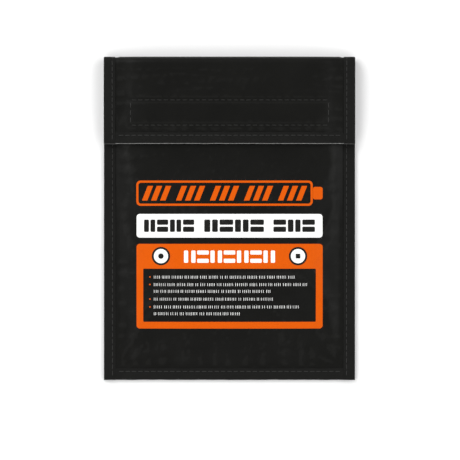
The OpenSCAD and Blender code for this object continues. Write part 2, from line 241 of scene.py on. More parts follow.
# ---------------------------------------------------------------------------
# How the relaxed cloth departs from the smooth shape
# ---------------------------------------------------------------------------
def front_wrinkles(x, y):
    x, y = np.broadcast_arrays(np.asarray(x, float), np.asarray(y, float))
    d_side = np.maximum(0, SEAM_X - 0.6 - np.abs(x))
    d_low = np.maximum(0, y + SEAM_Y - 0.6)
    held = ease(d_side / 9) * ease(d_low / 10)
    under = ease((y - 46) / 14)            # under the flap the strips hold it flat
    w = 0.30 * noise2(x / 46, y / 38, 11) + 0.12 * noise2(x / 21 + 9, y / 25, 12)
    # long soft folds from the lower corners up to the belly
    for sx, seed in ((-1, 21), (1, 22)):
        cx, cy = sx * 79, -104
        r = np.hypot(x - cx, y - cy)
        a = np.degrees(np.arctan2(y - cy, -sx * (x - cx)))
        fan = np.sin(np.radians(a) * 11 + seed + 0.7 * noise2(r / 30, a / 30, seed))
        w += 0.26 * fan * ease(r / 14) * np.exp(-((r - 24) / 26) ** 2) * ease(a / 14) * ease((84 - a) / 14)
    # the folds of the settled cloth
    w += np.minimum(0.50 * settled(x, y), 1.0) - 0.20
    # a few soft creases left from packing
    u, v = turned(x, y, 17, 70, 19)
    w -= 0.16 * (ridged(u, v, 31) - 0.35)
    u, v = turned(x, y, 74, 34, 11)
    w -= 0.08 * (ridged(u, v, 33) - 0.35)
    w = w * held * mix(1, 0.22, under)
    # puckers along the sewn seams
    ph = 2 * np.pi * (y / 10.5 + 0.55 * noise2(y / 19, np.sign(x) * 3.3, 41))
    amp = 0.5 + 0.5 * noise2(y / 26, np.sign(x) * 7.7, 42)
    pk = d_side / 4.5 * np.exp(1 - d_side / 4.5)
    w += 0.30 * amp * np.sin(ph) * pk * ease(d_low / 8) * mix(1, 0.4, under)
    ph = 2 * np.pi * (x / 11.5 + 0.55 * noise2(x / 21, 0.5, 43))
    amp = 0.5 + 0.5 * noise2(x / 27, 1.5, 44)
    pk = d_low / 4.5 * np.exp(1 - d_low / 4.5)
    w += 0.28 * amp * np.sin(ph) * pk * ease(d_side / 8)
    # fine crumple of the coated cloth
    w += 0.05 * noise2(x / 6.3, y / 6.8, 51) * held + 0.025 * noise2(x / 3.1, y / 3.3, 52) * held
    return w


def flap_wrinkles(x, y):
    """For the flap's cloth: nearly flat over the hook strip, grooved along its sewn rows."""
    x, y = np.broadcast_arrays(np.asarray(x, float), np.asarray(y, float))
    strip = ease((y - STRIP_Y + 1) / 3) * ease((STRIP_Y + STRIP_W + 1 - y) / 3) * ease((STRIP_HALF + 2 - np.abs(x)) / 4)
    edge = ease((y - FLAP_Y - 1) / 9) * ease((HW - 1 - np.abs(x)) / 10)
    w = 0.20 * noise2(x / 41, y / 27, 61) + 0.12 * noise2(x / 17, y / 14 + 4, 62)
    u, v = turned(x, y, 4, 60, 10)
    w -= 0.22 * (ridged(u, v, 63) - 0.3) * ease((y - STRIP_Y - STRIP_W) / 8)
    u, v = turned(x, y, 63, 30, 10)
    w -= 0.12 * (ridged(u, v, 64) - 0.3)
    w = w * mix(1, 0.25, strip) * mix(0.45, 1, edge) - 0.12
    rows = np.exp(-((y - STRIP_Y - 1.25) / 1.1) ** 2) + np.exp(-((y - STRIP_Y - STRIP_W + 1.25) / 1.1) ** 2)
    w -= 0.20 * rows * ease((STRIP_HALF + 1 - np.abs(x)) / 2)
    # puckers beside the flap's bindings
    d = np.maximum(0, 79.5 - np.abs(x))
    w += 0.14 * np.sin(2 * np.pi * (y / 9.5 + 0.4 * noise2(y / 14, np.sign(x), 65))) * d / 4 * np.exp(1 - d / 4)
    d = np.maximum(0, y - 60.5)
    w += 0.10 * np.sin(2 * np.pi * (x / 10.5 + 0.5 * noise2(x / 18, 3.1, 66))) * d / 2 * np.exp(1 - d / 2) * ease((y - 60.5) / 1)
    # the outer corners of the free edge droop and wave a little
    free = ease((STRIP_Y + 22 - y) / 30)
    w -= 0.9 * free * ease((np.abs(x) - 66) / 22) ** 1.5
    w += 0.035 * noise2(x / 6.1, y / 6.5, 67)
    return np.minimum(w, 0.10)


def flap_drop(y):
    """Fades the flap's departures out towards the fold, where the cloth is bent tight."""
    return 1 - 0.55 * ease((y - 96) / 14)


def front_z(x, y):
    """Underside of the front lining."""
    return rise(x, y) + STACK + arch(x, y) * along(y) + front_wrinkles(x, y)


def front_top(x, y):
    return front_z(x, y) + STACK


def flap_top(x, y):
    """Outer face of the flap's cloth."""
    x, y = np.broadcast_arrays(np.asarray(x, float), np.asarray(y, float))
    return 3 * STACK + MOUTH_H * flap_arch(x) + flap_off(y) + flap_wrinkles(x, y) * flap_drop(y)


# ---------------------------------------------------------------------------
# The back cloth's outer face, from the bottom edge round the fold to the flap's edge
# ---------------------------------------------------------------------------
def bend_r(x):
    return np.minimum(ROUND, 0.49 * flap_top(x, np.full_like(x, HL - ROUND)))


def inset(x, y=None):
    """How far the cloth stands in from the outer face, where a leaf of tape covers it."""
    e = side_rise(x)
    return e if y is None else np.maximum(e, TAPE * ease((-y - SEAM_Y + RAMP) / RAMP))


def back_path(x, ys, n_arc=10, n_up=3):
    """Outer face of the pouch half: points, outward normals and length along, for each x."""
    x = np.asarray(x, float)
    r = bend_r(x)
    zt = flap_top(x, np.full_like(x, HL - ROUND))
    zm = zt / 2
    cols = [(np.full_like(x, y), np.zeros_like(x), np.zeros_like(x), -np.ones_like(x)) for y in ys]
    for a in np.radians(np.linspace(0, 90, n_arc + 1)[1:]):
        cols.append((HL - r + r * np.sin(a), r - r * np.cos(a), np.full_like(x, np.sin(a)), np.full_like(x, -np.cos(a))))
    for t in np.linspace(0, 1, n_up + 1)[1:]:
        cols.append((np.full_like(x, HL), mix(r, zm, t), np.ones_like(x), np.zeros_like(x)))
    return _path(x, cols)


def flap_path(x, ys, n_arc=10, n_up=3):
    """Outer face of the flap half, from the middle of the fold to the free edge."""
    x = np.asarray(x, float)
    r = bend_r(x)
    zt = flap_top(x, np.full_like(x, HL - ROUND))
    zm = zt / 2
    cols = []
    for t in np.linspace(0, 1, n_up + 1)[:-1]:
        cols.append((np.full_like(x, HL), mix(zm, zt - r, t), np.ones_like(x), np.zeros_like(x)))
    for a in np.radians(np.linspace(0, 90, n_arc + 1)):
        cols.append((HL - r + r * np.cos(a), zt - r + r * np.sin(a), np.full_like(x, np.cos(a)), np.full_like(x, np.sin(a))))
    for y in ys:
        yy = np.full_like(x, y)
        cols.append((yy, flap_top(x, yy), np.zeros_like(x), np.ones_like(x)))
    return _path(x, cols)


def _path(x, cols):
    y = np.stack([c[0] for c in cols], 1)
    z = np.stack([c[1] for c in cols], 1)
    ny = np.stack([c[2] for c in cols], 1)
    nz = np.stack([c[3] for c in cols], 1)
    s = np.concatenate([np.zeros((len(x), 1)), np.cumsum(np.hypot(np.diff(y, axis=1), np.diff(z, axis=1)), 1)], 1)
    return y, z, ny, nz, s


def graded(stops, step):
    """Stations between stops, about step apart."""
    out = [stops[0]]
    for a, b in zip(stops, stops[1:]):
        n = max(1, int(math.ceil(abs(b - a) / step)))
        out += list(np.linspace(a, b, n + 1)[1:])
    return np.array(out)


# ---------------------------------------------------------------------------
# Mesh builders
# ---------------------------------------------------------------------------
def new_object(name, verts, faces, mat, uv=None, smooth=True, sharp=None, attrs=None):
    mesh = bpy.data.meshes.new(name)
    mesh.from_pydata((np.asarray(verts) * MM).tolist(), [], faces)
    mesh.update()
    if uv is not None:
        layer = mesh.uv_layers.new(name="cloth")
        idx = np.zeros(len(mesh.loops), np.int32)
        mesh.loops.foreach_get("vertex_index", idx)
        layer.data.foreach_set("uv", (np.asarray(uv, np.float32)[idx] * 0.01).ravel())
    for k, v in (attrs or {}).items():
        a = mesh.attributes.new(k, "FLOAT", "POINT")
        a.data.foreach_set("value", np.asarray(v, np.float32).ravel())
    mesh.polygons.foreach_set("use_smooth", [smooth] * len(mesh.polygons))
    if sharp is not None and len(sharp):
        pairs = {(min(a, b), max(a, b)) for a, b in sharp}
        flags = [tuple(sorted(e.vertices)) in pairs for e in mesh.edges]
        at = mesh.attributes.new("sharp_edge", "BOOLEAN", "EDGE") if "sharp_edge" not in mesh.attributes else mesh.attributes["sharp_edge"]
        at.data.foreach_set("value", flags)
    if mat is not None:
        mesh.materials.append(mat)
    ob = bpy.data.objects.new(name, mesh)
    bpy.context.scene.collection.objects.link(ob)
    return ob


def slab_parts(po, pi, uv, start=0):
    """A closed sheet between two grids of points of one shape. po is the face that shows."""
    nx, ny = po.shape[:2]
    n = nx * ny
    verts = np.concatenate([po.reshape(-1, 3), pi.reshape(-1, 3)])
    i, j = np.meshgrid(np.arange(nx - 1), np.arange(ny - 1), indexing="ij")
    a = (i * ny + j).ravel()
    b = ((i + 1) * ny + j).ravel()
    c = ((i + 1) * ny + j + 1).ravel()
    d = (i * ny + j + 1).ravel()
    top = np.stack([a, b, c, d], 1)
    bottom = np.stack([d, c, b, a], 1) + n
    ring = np.concatenate([
        np.arange(0, nx) * ny, (nx - 1) * ny + np.arange(1, ny),
        np.arange(nx - 2, -1, -1) * ny + ny - 1, np.arange(ny - 2, 0, -1)])
    nxt = np.roll(ring, -1)
    wall = np.stack([nxt, ring, ring + n, nxt + n], 1)
    faces = np.concatenate([top, bottom, wall]) + start
    sharp = [(int(p) + start, int(q) + start) for p, q in zip(ring, nxt)]
    sharp += [(int(p) + n + start, int(q) + n + start) for p, q in zip(ring, nxt)]
    corners = [0, (nx - 1) * ny, n - 1, ny - 1]
    sharp += [(c0 + start, c0 + n + start) for c0 in corners]
    uv2 = np.concatenate([uv.reshape(-1, 2), uv.reshape(-1, 2)])
    return verts, faces, sharp, uv2


class Build:
    """Collects closed parts into one mesh."""

    def __init__(self):
        self.v, self.f, self.s, self.u, self.a, self.n = [], [], [], [], [], 0

    def add(self, verts, faces, sharp, uv, attr=None):
        self.v.append(np.asarray(verts, float))
        self.f += [tuple(int(k) for k in f) for f in faces]
        self.s += list(sharp)
        self.u.append(np.asarray(uv, float))
        self.a.append(np.zeros(len(verts)) if attr is None else np.asarray(attr, float).ravel())
        self.n += len(verts)

    def slab(self, po, pi, uv, attr=None):
        at = None if attr is None else np.concatenate([attr.ravel(), attr.ravel()])
        v, f, s, u = slab_parts(po, pi, uv, self.n)
        self.add(v, f, s, u, at)

    def tube(self, pts, radii, sides=8, uv0=0.0, flat=1.0, ref=None):
        """A round thread or wire along points. flat squeezes it along Z; ref is a direction it never runs along."""
        pts = np.asarray(pts, float)
        m = len(pts)
        tan = np.gradient(pts, axis=0)
        tan /= np.maximum(1e-9, np.linalg.norm(tan, axis=1))[:, None]
        if ref is None:
            ref = (0, 0, 1) if abs(tan[m // 2][2]) < 0.8 else (1, 0, 0)
        ref = np.array(ref, float)
        side = np.cross(tan, ref)
        side /= np.maximum(1e-9, np.linalg.norm(side, axis=1))[:, None]
        up = np.cross(side, tan)
        ang = np.linspace(0, 2 * np.pi, sides, endpoint=False)
        r = np.asarray(radii, float).reshape(-1, 1, 1) if np.ndim(radii) else np.full((m, 1, 1), radii)
        v = pts[:, None] + r * (np.cos(ang)[None, :, None] * side[:, None] + flat * np.sin(ang)[None, :, None] * up[:, None])
        v = v.reshape(-1, 3)
        s0 = self.n
        f = []
        for k in range(m - 1):
            for q in range(sides):
                q2 = (q + 1) % sides
                f.append((s0 + k * sides + q, s0 + k * sides + q2, s0 + (k + 1) * sides + q2, s0 + (k + 1) * sides + q))
        f.append(tuple(s0 + q for q in range(sides - 1, -1, -1)))
        f.append(tuple(s0 + (m - 1) * sides + q for q in range(sides)))
        along_ = np.concatenate([[0], np.cumsum(np.linalg.norm(np.diff(pts, axis=0), axis=1))]) + uv0
        uv = np.stack([np.repeat(along_, sides), np.tile(ang / (2 * np.pi) * 2, m)], 1)
        self.add(v, f, [], uv)

    def object(self, name, mat, attr_name=None):
        attrs = {attr_name: np.concatenate(self.a)} if attr_name else None
        return new_object(name, np.concatenate(self.v), self.f, mat, np.concatenate(self.u), True, self.s, attrs)


def outward(ob):
    """Turns every closed part's faces outward."""
    import bmesh
    bm = bmesh.new()
    bm.from_mesh(ob.data)
    bmesh.ops.recalc_face_normals(bm, faces=bm.faces)
    bm.to_mesh(ob.data)
    bm.free()
    return ob


# ---------------------------------------------------------------------------
# Materials
# ---------------------------------------------------------------------------
class Nodes:
    """A short way to write shader nodes. The cloth's own map runs in millimetres / 100."""

    def __init__(self, name):
        self.mat = bpy.data.materials.new(name)
        self.mat.use_nodes = True
        self.t = self.mat.node_tree
        self.t.nodes.clear()
        self.out = self.t.nodes.new("ShaderNodeOutputMaterial")
        self.p = self.t.nodes.new("ShaderNodeBsdfPrincipled")
        self.t.links.new(self.p.outputs[0], self.out.inputs[0])

    def put(self, node, socket, value):
        if isinstance(value, bpy.types.NodeSocket):
            self.t.links.new(value, node.inputs[socket])
        else:
            node.inputs[socket].default_value = value

    def set(self, **kw):
        for k, v in kw.items():
            self.put(self.p, k.replace("_", " "), v)

    def m(self, op, a, b=None, c=None, clamp=False):
        n = self.t.nodes.new("ShaderNodeMath")
        n.operation = op
        n.use_clamp = clamp
        for i, v in enumerate((a, b, c)):
            if v is not None:
                self.put(n, i, v)
        return n.outputs[0]

    def uv(self):
        n = self.t.nodes.new("ShaderNodeUVMap")
        n.uv_map = "cloth"
        s = self.t.nodes.new("ShaderNodeSeparateXYZ")
        self.t.links.new(n.outputs[0], s.inputs[0])
        return n.outputs[0], self.m("MULTIPLY", s.outputs[0], 100.0), self.m("MULTIPLY", s.outputs[1], 100.0)

    def noise(self, vec, scale, detail=2.0, rough=0.5, distort=0.0):
        n = self.t.nodes.new("ShaderNodeTexNoise")
        self.put(n, "Vector", vec)
        self.put(n, "Scale", scale)
        self.put(n, "Detail", detail)
        self.put(n, "Roughness", rough)
        self.put(n, "Distortion", distort)
        return n.outputs[0]

    def stretch(self, vec, sx, sy, sz=1.0):
        n = self.t.nodes.new("ShaderNodeVectorMath")
        n.operation = "MULTIPLY"
        self.put(n, 0, vec)
        self.put(n, 1, (sx, sy, sz))
        return n.outputs[0]

    def objvec(self):
        return self.t.nodes.new("ShaderNodeTexCoord").outputs["Object"]

    def ramp(self, fac, stops):
        n = self.t.nodes.new("ShaderNodeValToRGB")
        self.put(n, 0, fac)
        e = n.color_ramp.elements
        while len(e) < len(stops):
            e.new(0.5)
        for el, (pos, col) in zip(e, stops):
            el.position = pos
            el.color = tuple(col) + (1.0,) if len(col) == 3 else tuple(col)
        return n.outputs[0]

    def step(self, v, lo, hi):
        n = self.t.nodes.new("ShaderNodeMapRange")
        n.interpolation_type = "SMOOTHSTEP"
        self.put(n, 0, v)
        self.put(n, 1, lo)
        self.put(n, 2, hi)
        return n.outputs[0]

    def mixc(self, fac, a, b, mode="MIX"):
        n = self.t.nodes.new("ShaderNodeMix")
        n.data_type = "RGBA"
        n.blend_type = mode
        for name, v in (("Factor", fac), ("A", a), ("B", b)):
            sock = [s for s in n.inputs if s.name == name and (s.type == "RGBA" or name == "Factor") and s.enabled][0]
            if isinstance(v, bpy.types.NodeSocket):
                self.t.links.new(v, sock)
            else:
                sock.default_value = v if not isinstance(v, tuple) else (tuple(v) + (1.0,) if len(v) == 3 else v)
        return [s for s in n.outputs if s.type == "RGBA"][0]

    def attr(self, name):
        n = self.t.nodes.new("ShaderNodeAttribute")
        n.attribute_name = name
        return n.outputs["Fac"]

    def bump(self, height, strength, distance, normal=None):
        n = self.t.nodes.new("ShaderNodeBump")
        self.put(n, "Strength", strength)
        self.put(n, "Distance", distance)
        self.put(n, "Height", height)
        if normal is not None:
            self.put(n, "Normal", normal)
        return n.outputs[0]

    def weave(self, u, v, pu, pv):
        """Height of a plain weave, 0 to 1, and which thread is on top."""
        a, b = self.m("DIVIDE", u, pu), self.m("DIVIDE", v, pv)
        fa, fb = self.m("FLOOR", a), self.m("FLOOR", b)
        wa = self.m("ABSOLUTE", self.m("SINE", self.m("MULTIPLY", a, math.pi)))
        wb = self.m("ABSOLUTE", self.m("SINE", self.m("MULTIPLY", b, math.pi)))
        ca = self.m("COSINE", self.m("MULTIPLY", self.m("ADD", self.m("SUBTRACT", b, 0.5), fa), math.pi))
        cb = self.m("COSINE", self.m("MULTIPLY", self.m("ADD", self.m("SUBTRACT", a, 0.5), fb), math.pi))
        ha = self.m("MULTIPLY", wa, self.m("MULTIPLY_ADD", ca, 0.5, 0.5))
        hb = self.m("MULTIPLY", wb, self.m("MULTIPLY_ADD", cb, -0.5, 0.5))
        return self.m("MAXIMUM", ha, hb), self.m("GREATER_THAN", ha, hb)


def coated_cloth():
    """Black silicone-coated glass cloth: fine weave under the coat, painted shade in the weave's hollows, soft sheen,
    rubbed on the crests.
    """
    n = Nodes("coated_cloth")
    vec, u, v = n.uv()
    h, top = n.weave(u, v, 0.74, 0.74)
    big = n.noise(vec, 3.2, 3.0, 0.55)
    mid = n.noise(vec, 22.0, 3.0, 0.6)
    fine = n.noise(vec, 240.0, 2.0, 0.5)
    dust = n.step(n.noise(vec, 620.0, 1.0, 0.5), 0.69, 0.78)
    wear = n.attr("wear")
    rub = n.m("MULTIPLY", n.step(n.m("MULTIPLY_ADD", n.noise(vec, 70.0, 3.0, 0.7), 0.8, wear), 0.62, 1.6), 0.55)
    base = n.ramp(big, [(0.30, (0.0043, 0.0043, 0.0038)), (0.70, (0.0063, 0.0063, 0.0055))])
    base = n.mixc(n.m("MULTIPLY", fine, 0.5), base, (0.0080, 0.0080, 0.0070))
    base = n.mixc(rub, base, (0.0135, 0.0135, 0.0125))
    base = n.mixc(n.m("MULTIPLY", dust, 0.30), base, (0.055, 0.055, 0.052))
    # painted shade: the colour is darkened where the weave is low, in the hollows between its threads
    base = n.mixc(n.m("MULTIPLY", n.m("SUBTRACT", 1.0, h), 0.35), base, (0.0028, 0.0028, 0.0025))
    n.set(Base_Color=base, Roughness=n.m("ADD", n.m("MULTIPLY_ADD", mid, 0.10, 0.33), n.m("MULTIPLY", big, 0.06)))
    n.p.inputs["Specular IOR Level"].default_value = 0.10
    n.p.inputs["Sheen Weight"].default_value = 0.0
    n.p.inputs["Sheen Roughness"].default_value = 0.45
    b = n.bump(h, 0.40, 0.00007)
    b = n.bump(fine, 0.22, 0.00007, b)
    b = n.bump(mid, 0.35, 0.00020, b)
    n.set(Normal=b)
    return n.mat


def lining_cloth():
    """Uncoated woven glass cloth: pale, silky, with single threads that differ and painted shade between the threads.
    """
    n = Nodes("lining")
    vec, u, v = n.uv()
    h, top = n.weave(u, v, 1.05, 0.95)
    streak_u = n.noise(n.stretch(vec, 95.0, 1.2), 1.0, 2.0, 0.6)
    streak_v = n.noise(n.stretch(vec, 1.2, 105.0), 1.0, 2.0, 0.6)
    big = n.noise(vec, 4.0, 3.0, 0.55)
    c = n.ramp(streak_u, [(0.3, (0.40, 0.385, 0.345)), (0.7, (0.53, 0.515, 0.47))])
    c2 = n.ramp(streak_v, [(0.3, (0.36, 0.345, 0.31)), (0.7, (0.50, 0.485, 0.44))])
    c = n.mixc(top, c2, c)
    c = n.mixc(n.m("MULTIPLY", big, 0.35), c, (0.36, 0.34, 0.30))
    # painted shade: the colour is darkened where the weave is low, between its threads
    c = n.mixc(n.m("MULTIPLY", n.m("SUBTRACT", 1.0, h), 0.7), c, (0.12, 0.115, 0.10))
    n.set(Base_Color=c, Roughness=n.m("MULTIPLY_ADD", big, 0.15, 0.52))
    n.p.inputs["Specular IOR Level"].default_value = 0.45
    n.p.inputs["Sheen Weight"].default_value = 0.15
    n.p.inputs["Sheen Roughness"].default_value = 0.4
    b = n.bump(h, 0.8, 0.00018)
    b = n.bump(n.noise(n.stretch(vec, 300.0, 300.0), 1.0, 1.0), 0.25, 0.00006, b)
    n.set(Normal=b)
    return n.mat


def binding_tape():
    """Ribbed woven tape: ribs across it with a painted highlight on their crests, rubbed grey along the fold."""
    n = Nodes("binding")
    vec, u, v = n.uv()
    av = n.m("ABSOLUTE", v)
    rib = n.m("MULTIPLY_ADD", n.m("SINE", n.m("MULTIPLY", u, 2 * math.pi / 0.72)), 0.5, 0.5)
    yarn = n.m("MULTIPLY_ADD", n.m("SINE", n.m("ADD", n.m("MULTIPLY", v, 2 * math.pi / 0.42), n.m("MULTIPLY", n.m("FLOOR", n.m("DIVIDE", u, 0.36)), math.pi))), 0.5, 0.5)
    h = n.m("MULTIPLY_ADD", yarn, 0.35, rib)
    big = n.noise(vec, 9.0, 3.0, 0.6)
    fine = n.noise(vec, 330.0, 2.0, 0.5)
    more = n.attr("wear")
    handled = n.m("MINIMUM", more, 1.0)
    off = n.m("ABSOLUTE", n.m("SUBTRACT", v, n.m("MULTIPLY", handled, 0.5)))
    fold = n.m("SUBTRACT", 1.0, n.step(off, 0.35, 0.90))
    fold = n.m("MAXIMUM", fold, n.m("SUBTRACT", more, 1.0, clamp=True))
    worn = n.m("MULTIPLY", fold, n.m("MULTIPLY_ADD", n.step(n.noise(vec, 62.0, 4.0, 0.7), 0.32, 0.60), 0.45, 0.55))
    worn = n.m("MULTIPLY", worn, n.m("MULTIPLY_ADD", rib, 0.45, 0.55))
    worn = n.m("MULTIPLY", worn, n.m("MULTIPLY_ADD", handled, 0.87, 0.13))
    fuzz = n.m("MULTIPLY", n.step(av, 8.2, 9.4), 0.4)
    base = n.ramp(big, [(0.3, (0.0056, 0.0056, 0.0051)), (0.7, (0.0084, 0.0084, 0.0077))])
    # painted highlight: the colour is lighter on the crest of each rib and darker between the ribs
    base = n.mixc(n.m("MULTIPLY", rib, 0.35), base, (0.0140, 0.0140, 0.0131))
    base = n.mixc(n.m("MULTIPLY", n.step(fine, 0.6, 0.8), 0.35), base, (0.026, 0.026, 0.0245))
    base = n.mixc(fuzz, base, (0.022, 0.022, 0.021))
    base = n.mixc(worn, base, (0.390, 0.390, 0.380))
    n.set(Base_Color=base, Roughness=n.m("MULTIPLY_ADD", big, 0.12, 0.74))
    n.p.inputs["Specular IOR Level"].default_value = 0.10
    n.p.inputs["Sheen Weight"].default_value = 0.0
    n.p.inputs["Sheen Roughness"].default_value = 0.5
    b = n.bump(h, 0.8, 0.00012)
    b = n.bump(fine, 0.4, 0.00008, b)
    n.set(Normal=b)
    return n.mat


def thread():
    """Three-ply sewing thread, twisted, with painted shade in the grooves of the twist and a painted highlight on its
    crests.
    """
    n = Nodes("thread")
    vec, u, v = n.uv()
    ply = n.m("MULTIPLY_ADD", n.m("SINE", n.m("MULTIPLY", n.m("ADD", n.m("MULTIPLY", u, 1.6), v), 2 * math.pi)), 0.5, 0.5)
    fine = n.noise(vec, 500.0, 2.0, 0.5)
    # painted shade and painted highlight: the colour follows the twist's height, dark in its grooves and light on its
    # crests
    base = n.mixc(ply, (0.007, 0.007, 0.0066), (0.026, 0.026, 0.0245))
    base = n.mixc(n.m("MULTIPLY", fine, 0.3), base, (0.036, 0.036, 0.034))
    n.set(Base_Color=base, Roughness=n.m("MULTIPLY_ADD", fine, 0.2, 0.45))
    n.p.inputs["Specular IOR Level"].default_value = 0.3
    n.p.inputs["Sheen Weight"].default_value = 0.0
    n.set(Normal=n.bump(ply, 0.7, 0.00010))
    return n.mat


def tape_base(name, lo, hi, rough):
    """The woven ground and the fibres of the hook and the loop strips."""
    n = Nodes(name)
    vec, u, v = n.uv()
    h, top = n.weave(u, v, 0.5, 0.38)
    fine = n.noise(vec, 260.0, 2.0, 0.6)
    big = n.noise(vec, 14.0, 2.0, 0.5)
    base = n.mixc(fine, lo, hi)
    base = n.mixc(n.m("MULTIPLY", big, 0.4), base, lo)
    n.set(Base_Color=base, Roughness=n.m("MULTIPLY_ADD", fine, 0.2, rough))
    n.p.inputs["Specular IOR Level"].default_value = 0.35
    n.p.inputs["Sheen Weight"].default_value = 0.25 if name == "loop" else 0.0
    b = n.bump(h, 0.6, 0.00010)
    n.set(Normal=n.bump(fine, 0.4, 0.00010, b))
    return n.mat


def ink(name, colour, spot, dark=(0.0085, 0.0085, 0.008)):
    """Screen ink on the coat: the weave shows through its relief, with painted shade in the weave's hollows, pinholes
    and rubbed crests.
    """
    n = Nodes(name)
    vec, u, v = n.uv()
    h, top = n.weave(u, v, 0.74, 0.74)
    big = n.noise(vec, 5.0, 3.0, 0.55)
    fine = n.noise(vec, 300.0, 2.0, 0.55)
    wear = n.attr("wear")
    pin = n.m("MULTIPLY", n.step(n.noise(vec, 520.0, 1.0, 0.4), 0.735, 0.78), 0.6)
    rub = n.m("MULTIPLY", n.step(n.m("MULTIPLY_ADD", n.noise(vec, 210.0, 3.0, 0.7), 1.0, n.m("MULTIPLY", wear, 0.35)), 0.86, 1.10), 0.4)
    base = n.mixc(n.m("MULTIPLY", big, 0.4), colour, spot)
    # painted shade: the ink's colour darkens where the weave is low, in its hollows
    base = n.mixc(n.m("MULTIPLY", n.m("SUBTRACT", 1.0, h), 0.10), base, tuple(c * 0.55 for c in colour))
    base = n.mixc(n.m("MAXIMUM", pin, rub), base, dark)
    n.set(Base_Color=base, Roughness=n.m("MULTIPLY_ADD", fine, 0.12, 0.40))
    n.p.inputs["Specular IOR Level"].default_value = 0.08
    b = n.bump(h, 0.42, 0.00007)
    n.set(Normal=n.bump(fine, 0.25, 0.00005, b))
    return n.mat


CLOTH = coated_cloth()
LINE = lining_cloth()
BIND = binding_tape()
THREAD = thread()
HOOK = tape_base("hook", (0.010, 0.010, 0.0098), (0.026, 0.026, 0.025), 0.38)
LOOP = tape_base("loop", (0.012, 0.012, 0.0118), (0.036, 0.036, 0.034), 0.66)
ORANGE = ink("ink_orange", (0.680, 0.097, 0.0008), (0.625, 0.084, 0.0006))
WHITE = ink("ink_white", (0.92, 0.92, 0.905), (0.86, 0.86, 0.845))
BLACK = ink("ink_black", (0.0120, 0.0120, 0.0110), (0.0090, 0.0090, 0.0085), (0.30, 0.30, 0.29))


# ---------------------------------------------------------------------------
# Cloth panels
# ---------------------------------------------------------------------------
def crest(x, y, fn, k):
    """Where a surface bulges most, 0 to 1: the places that rub."""
    e = 1.6
    c = (fn(x + e, y) + fn(x - e, y) + fn(x, y + e) + fn(x, y - e) - 4 * fn(x, y)) / (e * e)
    return np.clip(-c * k, 0, 1)


def panel_xs(step):
    return graded([-EDGE_X, -SEAM_X, -SEAM_X + RAMP, SEAM_X - RAMP, SEAM_X, EDGE_X], step)


def front_layer(name, mat, low, high, x_step, y_step):
    xs = panel_xs(x_step)
    ys = graded([-EDGE_Y, -SEAM_Y, -SEAM_Y + RAMP, MOUTH_Y - 0.55], y_step)
    gx, gy = np.meshgrid(xs, ys, indexing="ij")
    z = front_z(gx, gy)
    wear = crest(gx, gy, front_wrinkles, 22)
    b = Build()
    b.slab(np.stack([gx, gy, z + high], 2), np.stack([gx, gy, z + low], 2), np.stack([gx, gy], 2), wear)
    return b.object(name, mat, "wear")


def back_waves(x, y):
    """The back lies on its face; it lifts by a hair here and there."""
    inside = ease((SEAM_X - np.abs(x)) / 14) * ease((y + SEAM_Y) / 14) * ease((104 - y) / 12)
    return 0.16 * inside * (0.5 + 0.5 * noise2(x / 23, y / 25, 71))


def pouch_back_layer(name, mat, low, high, x_step, y_step, show_inner=False):
    xs = panel_xs(x_step)
    ys = graded([-EDGE_Y, -SEAM_Y, -SEAM_Y + RAMP, HL - ROUND], y_step)
    y, z, ny, nz, s = back_path(xs, ys)
    gx = np.repeat(xs[:, None], y.shape[1], 1)
    flat = np.arange(y.shape[1]) < len(ys)
    e = inset(gx, np.where(flat[None, :], y, 0)) + np.where(flat[None, :], back_waves(gx, y), 0)

    def at(d):
        return np.stack([gx, y - ny * (e + d), z - nz * (e + d)], 2)
    uv = np.stack([gx, s - EDGE_Y], 2)
    a, c = at(low), at(high)
    b = Build()
    if show_inner:
        b.slab(c[:, ::-1], a[:, ::-1], uv[:, ::-1], np.zeros_like(gx))
    else:
        b.slab(a, c, uv, np.zeros_like(gx))
    return b.object(name, mat, "wear")


def flap_layer(name, mat, low, high, x_step, y_step):
    xs = panel_xs(x_step)
    ys = graded([HL - ROUND, 96, FLAP_Y + 0.5], y_step)[1:]
    y, z, ny, nz, s = flap_path(xs, ys)
    gx = np.repeat(xs[:, None], y.shape[1], 1)
    q = ease((nz * 0.5 + np.where(nz > 0.999, 0.5, 0)))
    e = side_rise(gx) * (1 - q)

    def at(d):
        return np.stack([gx, y - ny * (e + d), z - nz * (e + d)], 2)
    uv = np.stack([gx, -s], 2)
    wear = crest(gx, y, lambda a, c: flap_wrinkles(a, c), 22) * ease((107 - y) / 4) + 0.55 * np.exp(-((nz - 0.7) / 0.3) ** 2) * (nz < 0.999)
    b = Build()
    b.slab(at(low), at(high), uv, wear)
    return b.object(name, mat, "wear")


def to_pouch_fold(ob):
    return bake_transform(ob)


def to_flap_fold(ob):
    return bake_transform(ob)


front_cloth = outward(front_layer("front_cloth", CLOTH, LINING + 0.01, STACK, 1.3, 1.3))
front_inner = outward(front_layer("front_lining_cloth", LINE, 0.0, LINING - 0.01, 2.2, 2.2))
back_cloth = outward(pouch_back_layer("back_cloth", CLOTH, 0.0, SHELL - 0.01, 1.3, 2.6))
back_inner = outward(pouch_back_layer("back_lining_cloth", LINE, SHELL + 0.01, STACK - 0.01, 2.2, 2.6, True))
flap_cloth = outward(flap_layer("flap_cloth", CLOTH, 0.0, SHELL - 0.01, 1.3, 1.3))
flap_inner = outward(flap_layer("flap_lining_cloth", LINE, SHELL + 0.01, STACK - 0.01, 2.2, 2.2))

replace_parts(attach(front_cloth, "pouch"), "front_panel")
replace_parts(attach(front_inner, "pouch"), "front_lining")
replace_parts(to_pouch_fold(back_cloth), "back_panel")
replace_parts(to_pouch_fold(back_inner), "back_lining")
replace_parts(to_flap_fold(flap_cloth), "flap_panel", "fold_panel")
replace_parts(to_flap_fold(flap_inner), "flap_lining", "fold_lining")


